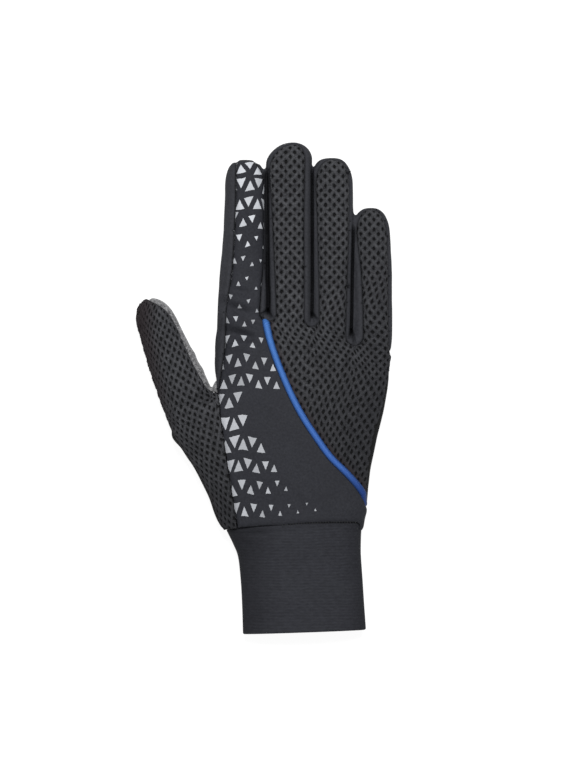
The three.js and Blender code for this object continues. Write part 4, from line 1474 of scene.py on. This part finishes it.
def knit_cuff():
    rows = smooth_rows(CUFF, CUFF_STEPS)
    tucked = [rows[-1] + np.array([0, step, 0, step, 0, 0]) for step, _ in CUFF_TUCK]
    outer = [cuff_ring(row, 0) for row in rows[:-1]]
    outer += [cuff_ring(row, shrink) for row, (_, shrink) in zip(tucked, CUFF_TUCK)]
    deepest = CUFF_TUCK[-1][1]
    inner = [cuff_ring(row, deepest + CUFF_DOUBLED) for row in tucked[::-1]]
    inner += [cuff_ring(row, CUFF_WALL) for row in rows[-CUFF_DOUBLED_FROM::-1]]
    hem = []
    for k in range(1, CUFF_HEM_RINGS + 1):
        turn = np.pi * k / (CUFF_HEM_RINGS + 1)
        shrink = CUFF_WALL / 2 * (1 - np.cos(turn))
        row = rows[0].copy()
        row[[1, 3]] -= CUFF_WALL / 2 * np.sin(turn)
        hem.append(cuff_ring(row, shrink))
    rings = [*outer, *inner, *hem[::-1]]
    points = np.vstack(rings)
    lift = np.array([noise.noise(Vector(p) * CUFF_WAVE) for p in points]) * CUFF_WAVE_HEIGHT
    for *stroke, width, depth in CUFF_FOLDS:
        distance, t = distance_to_stroke(points, stroke)
        fade = np.sin(np.pi * np.clip(t, CUFF_FOLD_END, 1 - CUFF_FOLD_END))
        lift -= depth * fade * np.exp(-((distance / width) ** 2))
    points[:, 2] += lift * eased((points[:, 2] - CUFF_FREE_FROM) / CUFF_FREE_OVER)
    return mesh_object("cuff knit", points, quads(len(rings), FORM_SIDES, closed=True))


cuff_raw = knit_cuff()
smoother = cuff_raw.modifiers.new("finer", "SUBSURF")
smoother.levels = 1
smoother.render_levels = 1
cuff = evaluated(cuff_raw, "cuff_knit")
discard(cuff_raw)
cuff.data.shade_smooth()
cuff_cloth = jersey("charcoal cuff knit", course=1.5, streaks=0.4, shadows=CUFF_SHADOWS)
dress(cuff, cuff_cloth, "cuff")


# The seam between cuff and hand is overlocked with black thread, and its stitches lie across it.

STITCH_PITCH = 1.35
STITCH_LENGTH = 1.3
STITCH_RADIUS = 0.17
STITCH_FROM, STITCH_TO = 8.0, 46.5
STITCH_DROP = 0.55
STITCH_LEAN = 0.25
# a stitch takes its height from the hand this far past the seam
STITCH_HEIGHT_FROM = 1.2
THREAD_BLACK = (0.006, 0.006, 0.007, 1.0)


def stitch_tree():
    """A short rounded rod of thread on every point, lying along the glove."""
    nodes, given = new_tree("seam stitches", Radius="Float", Length="Float", Lean="Float", Seed="Int",
                            Thread="Material")
    ball = nodes.wire("GeometryNodeMeshUVSphere", Segments=8, Rings=6, Radius=1.0)
    size = nodes.wire("ShaderNodeCombineXYZ", X=given["Radius"], Y=given["Length"] * 0.5,
                      Z=given["Radius"])
    lean = nodes.wire("FunctionNodeRandomValue", output=1, settings={"data_type": "FLOAT"},
                      s2=given["Lean"] * -1.0, s3=given["Lean"], Seed=given["Seed"])
    spin = nodes.wire("ShaderNodeCombineXYZ", Z=lean)
    laid = nodes.wire("GeometryNodeInstanceOnPoints", Points=given["Geometry"], Instance=ball,
                      Scale=size, Rotation=spin)
    return end_tree(nodes, laid, given["Thread"])


thread = Finish("black sewing thread", Base_Color=THREAD_BLACK, Roughness=0.7).material
seam_line = even_steps(seam(CUFF_SEAM), STITCH_PITCH)
seam_line = seam_line[(seam_line[:, 0] > STITCH_FROM) & (seam_line[:, 0] < STITCH_TO)]
stitch_places = [
    (x, y, surface_height(x, y + STITCH_HEIGHT_FROM) - STITCH_DROP) for x, y in seam_line
]
stitch_points = mesh_object("stitch points", stitch_places, [])
stitches = run_tree(stitch_points, stitch_tree(), "cuff_seam_stitches", Radius=STITCH_RADIUS * MM,
                    Length=STITCH_LENGTH * MM, Lean=STITCH_LEAN, Seed=4, Thread=thread)
stitches.data.shade_smooth()
dress(stitches, thread, "cuff")


discard(stitch_points, form, above_cuff, lower_half, thumb_inner, palm_block, palm_sheet,
        print_sheet, knuckle_sheet, thumb_sheet, upper_half, strips, *cutters)


# The floor is a plain pale sheet, and the light is soft and even from above, a little stronger
# from the fingers' side.

FLOOR_REACH, FLOOR_HEIGHT = 1500.0, -0.05
WHITE = (1.0, 1.0, 1.0, 1.0)
FLOOR_GREY = (0.25, 0.25, 0.25, 1.0)
WORLD_LIGHT = 0.3

corners = [(-1, -1), (1, -1), (1, 1), (-1, 1)]
floor = mesh_object(
    "floor", [(x * FLOOR_REACH, y * FLOOR_REACH, FLOOR_HEIGHT) for x, y in corners], [(0, 1, 2, 3)],
)
floor_finish = Finish("pale floor", Base_Color=FLOOR_GREY, Roughness=1.0, Specular_IOR_Level=0.0,
                      Emission_Color=WHITE, Emission_Strength=0.85)
floor.data.materials.append(floor_finish.material)


def softbox(name, place, size, power):
    """A round soft light that is aimed at the middle of the glove."""
    data = bpy.data.lights.new(name, "AREA")
    data.shape = "DISK"
    data.size = size
    data.energy = power
    light = bpy.data.objects.new(name, data)
    light.location = place
    light.rotation_euler = (-Vector(place)).to_track_quat("-Z", "Y").to_euler()
    scene.collection.objects.link(light)


softbox("top light", (0.1, 0.75, 1.6), size=0.7, power=30.0)
softbox("front light", (-0.2, -0.5, 1.8), size=0.8, power=10.0)
world = bpy.data.worlds.new("studio")
world.use_nodes = True
background = world.node_tree.nodes["Background"]
background.inputs["Color"].default_value = WHITE
background.inputs["Strength"].default_value = WORLD_LIGHT
scene.world = world
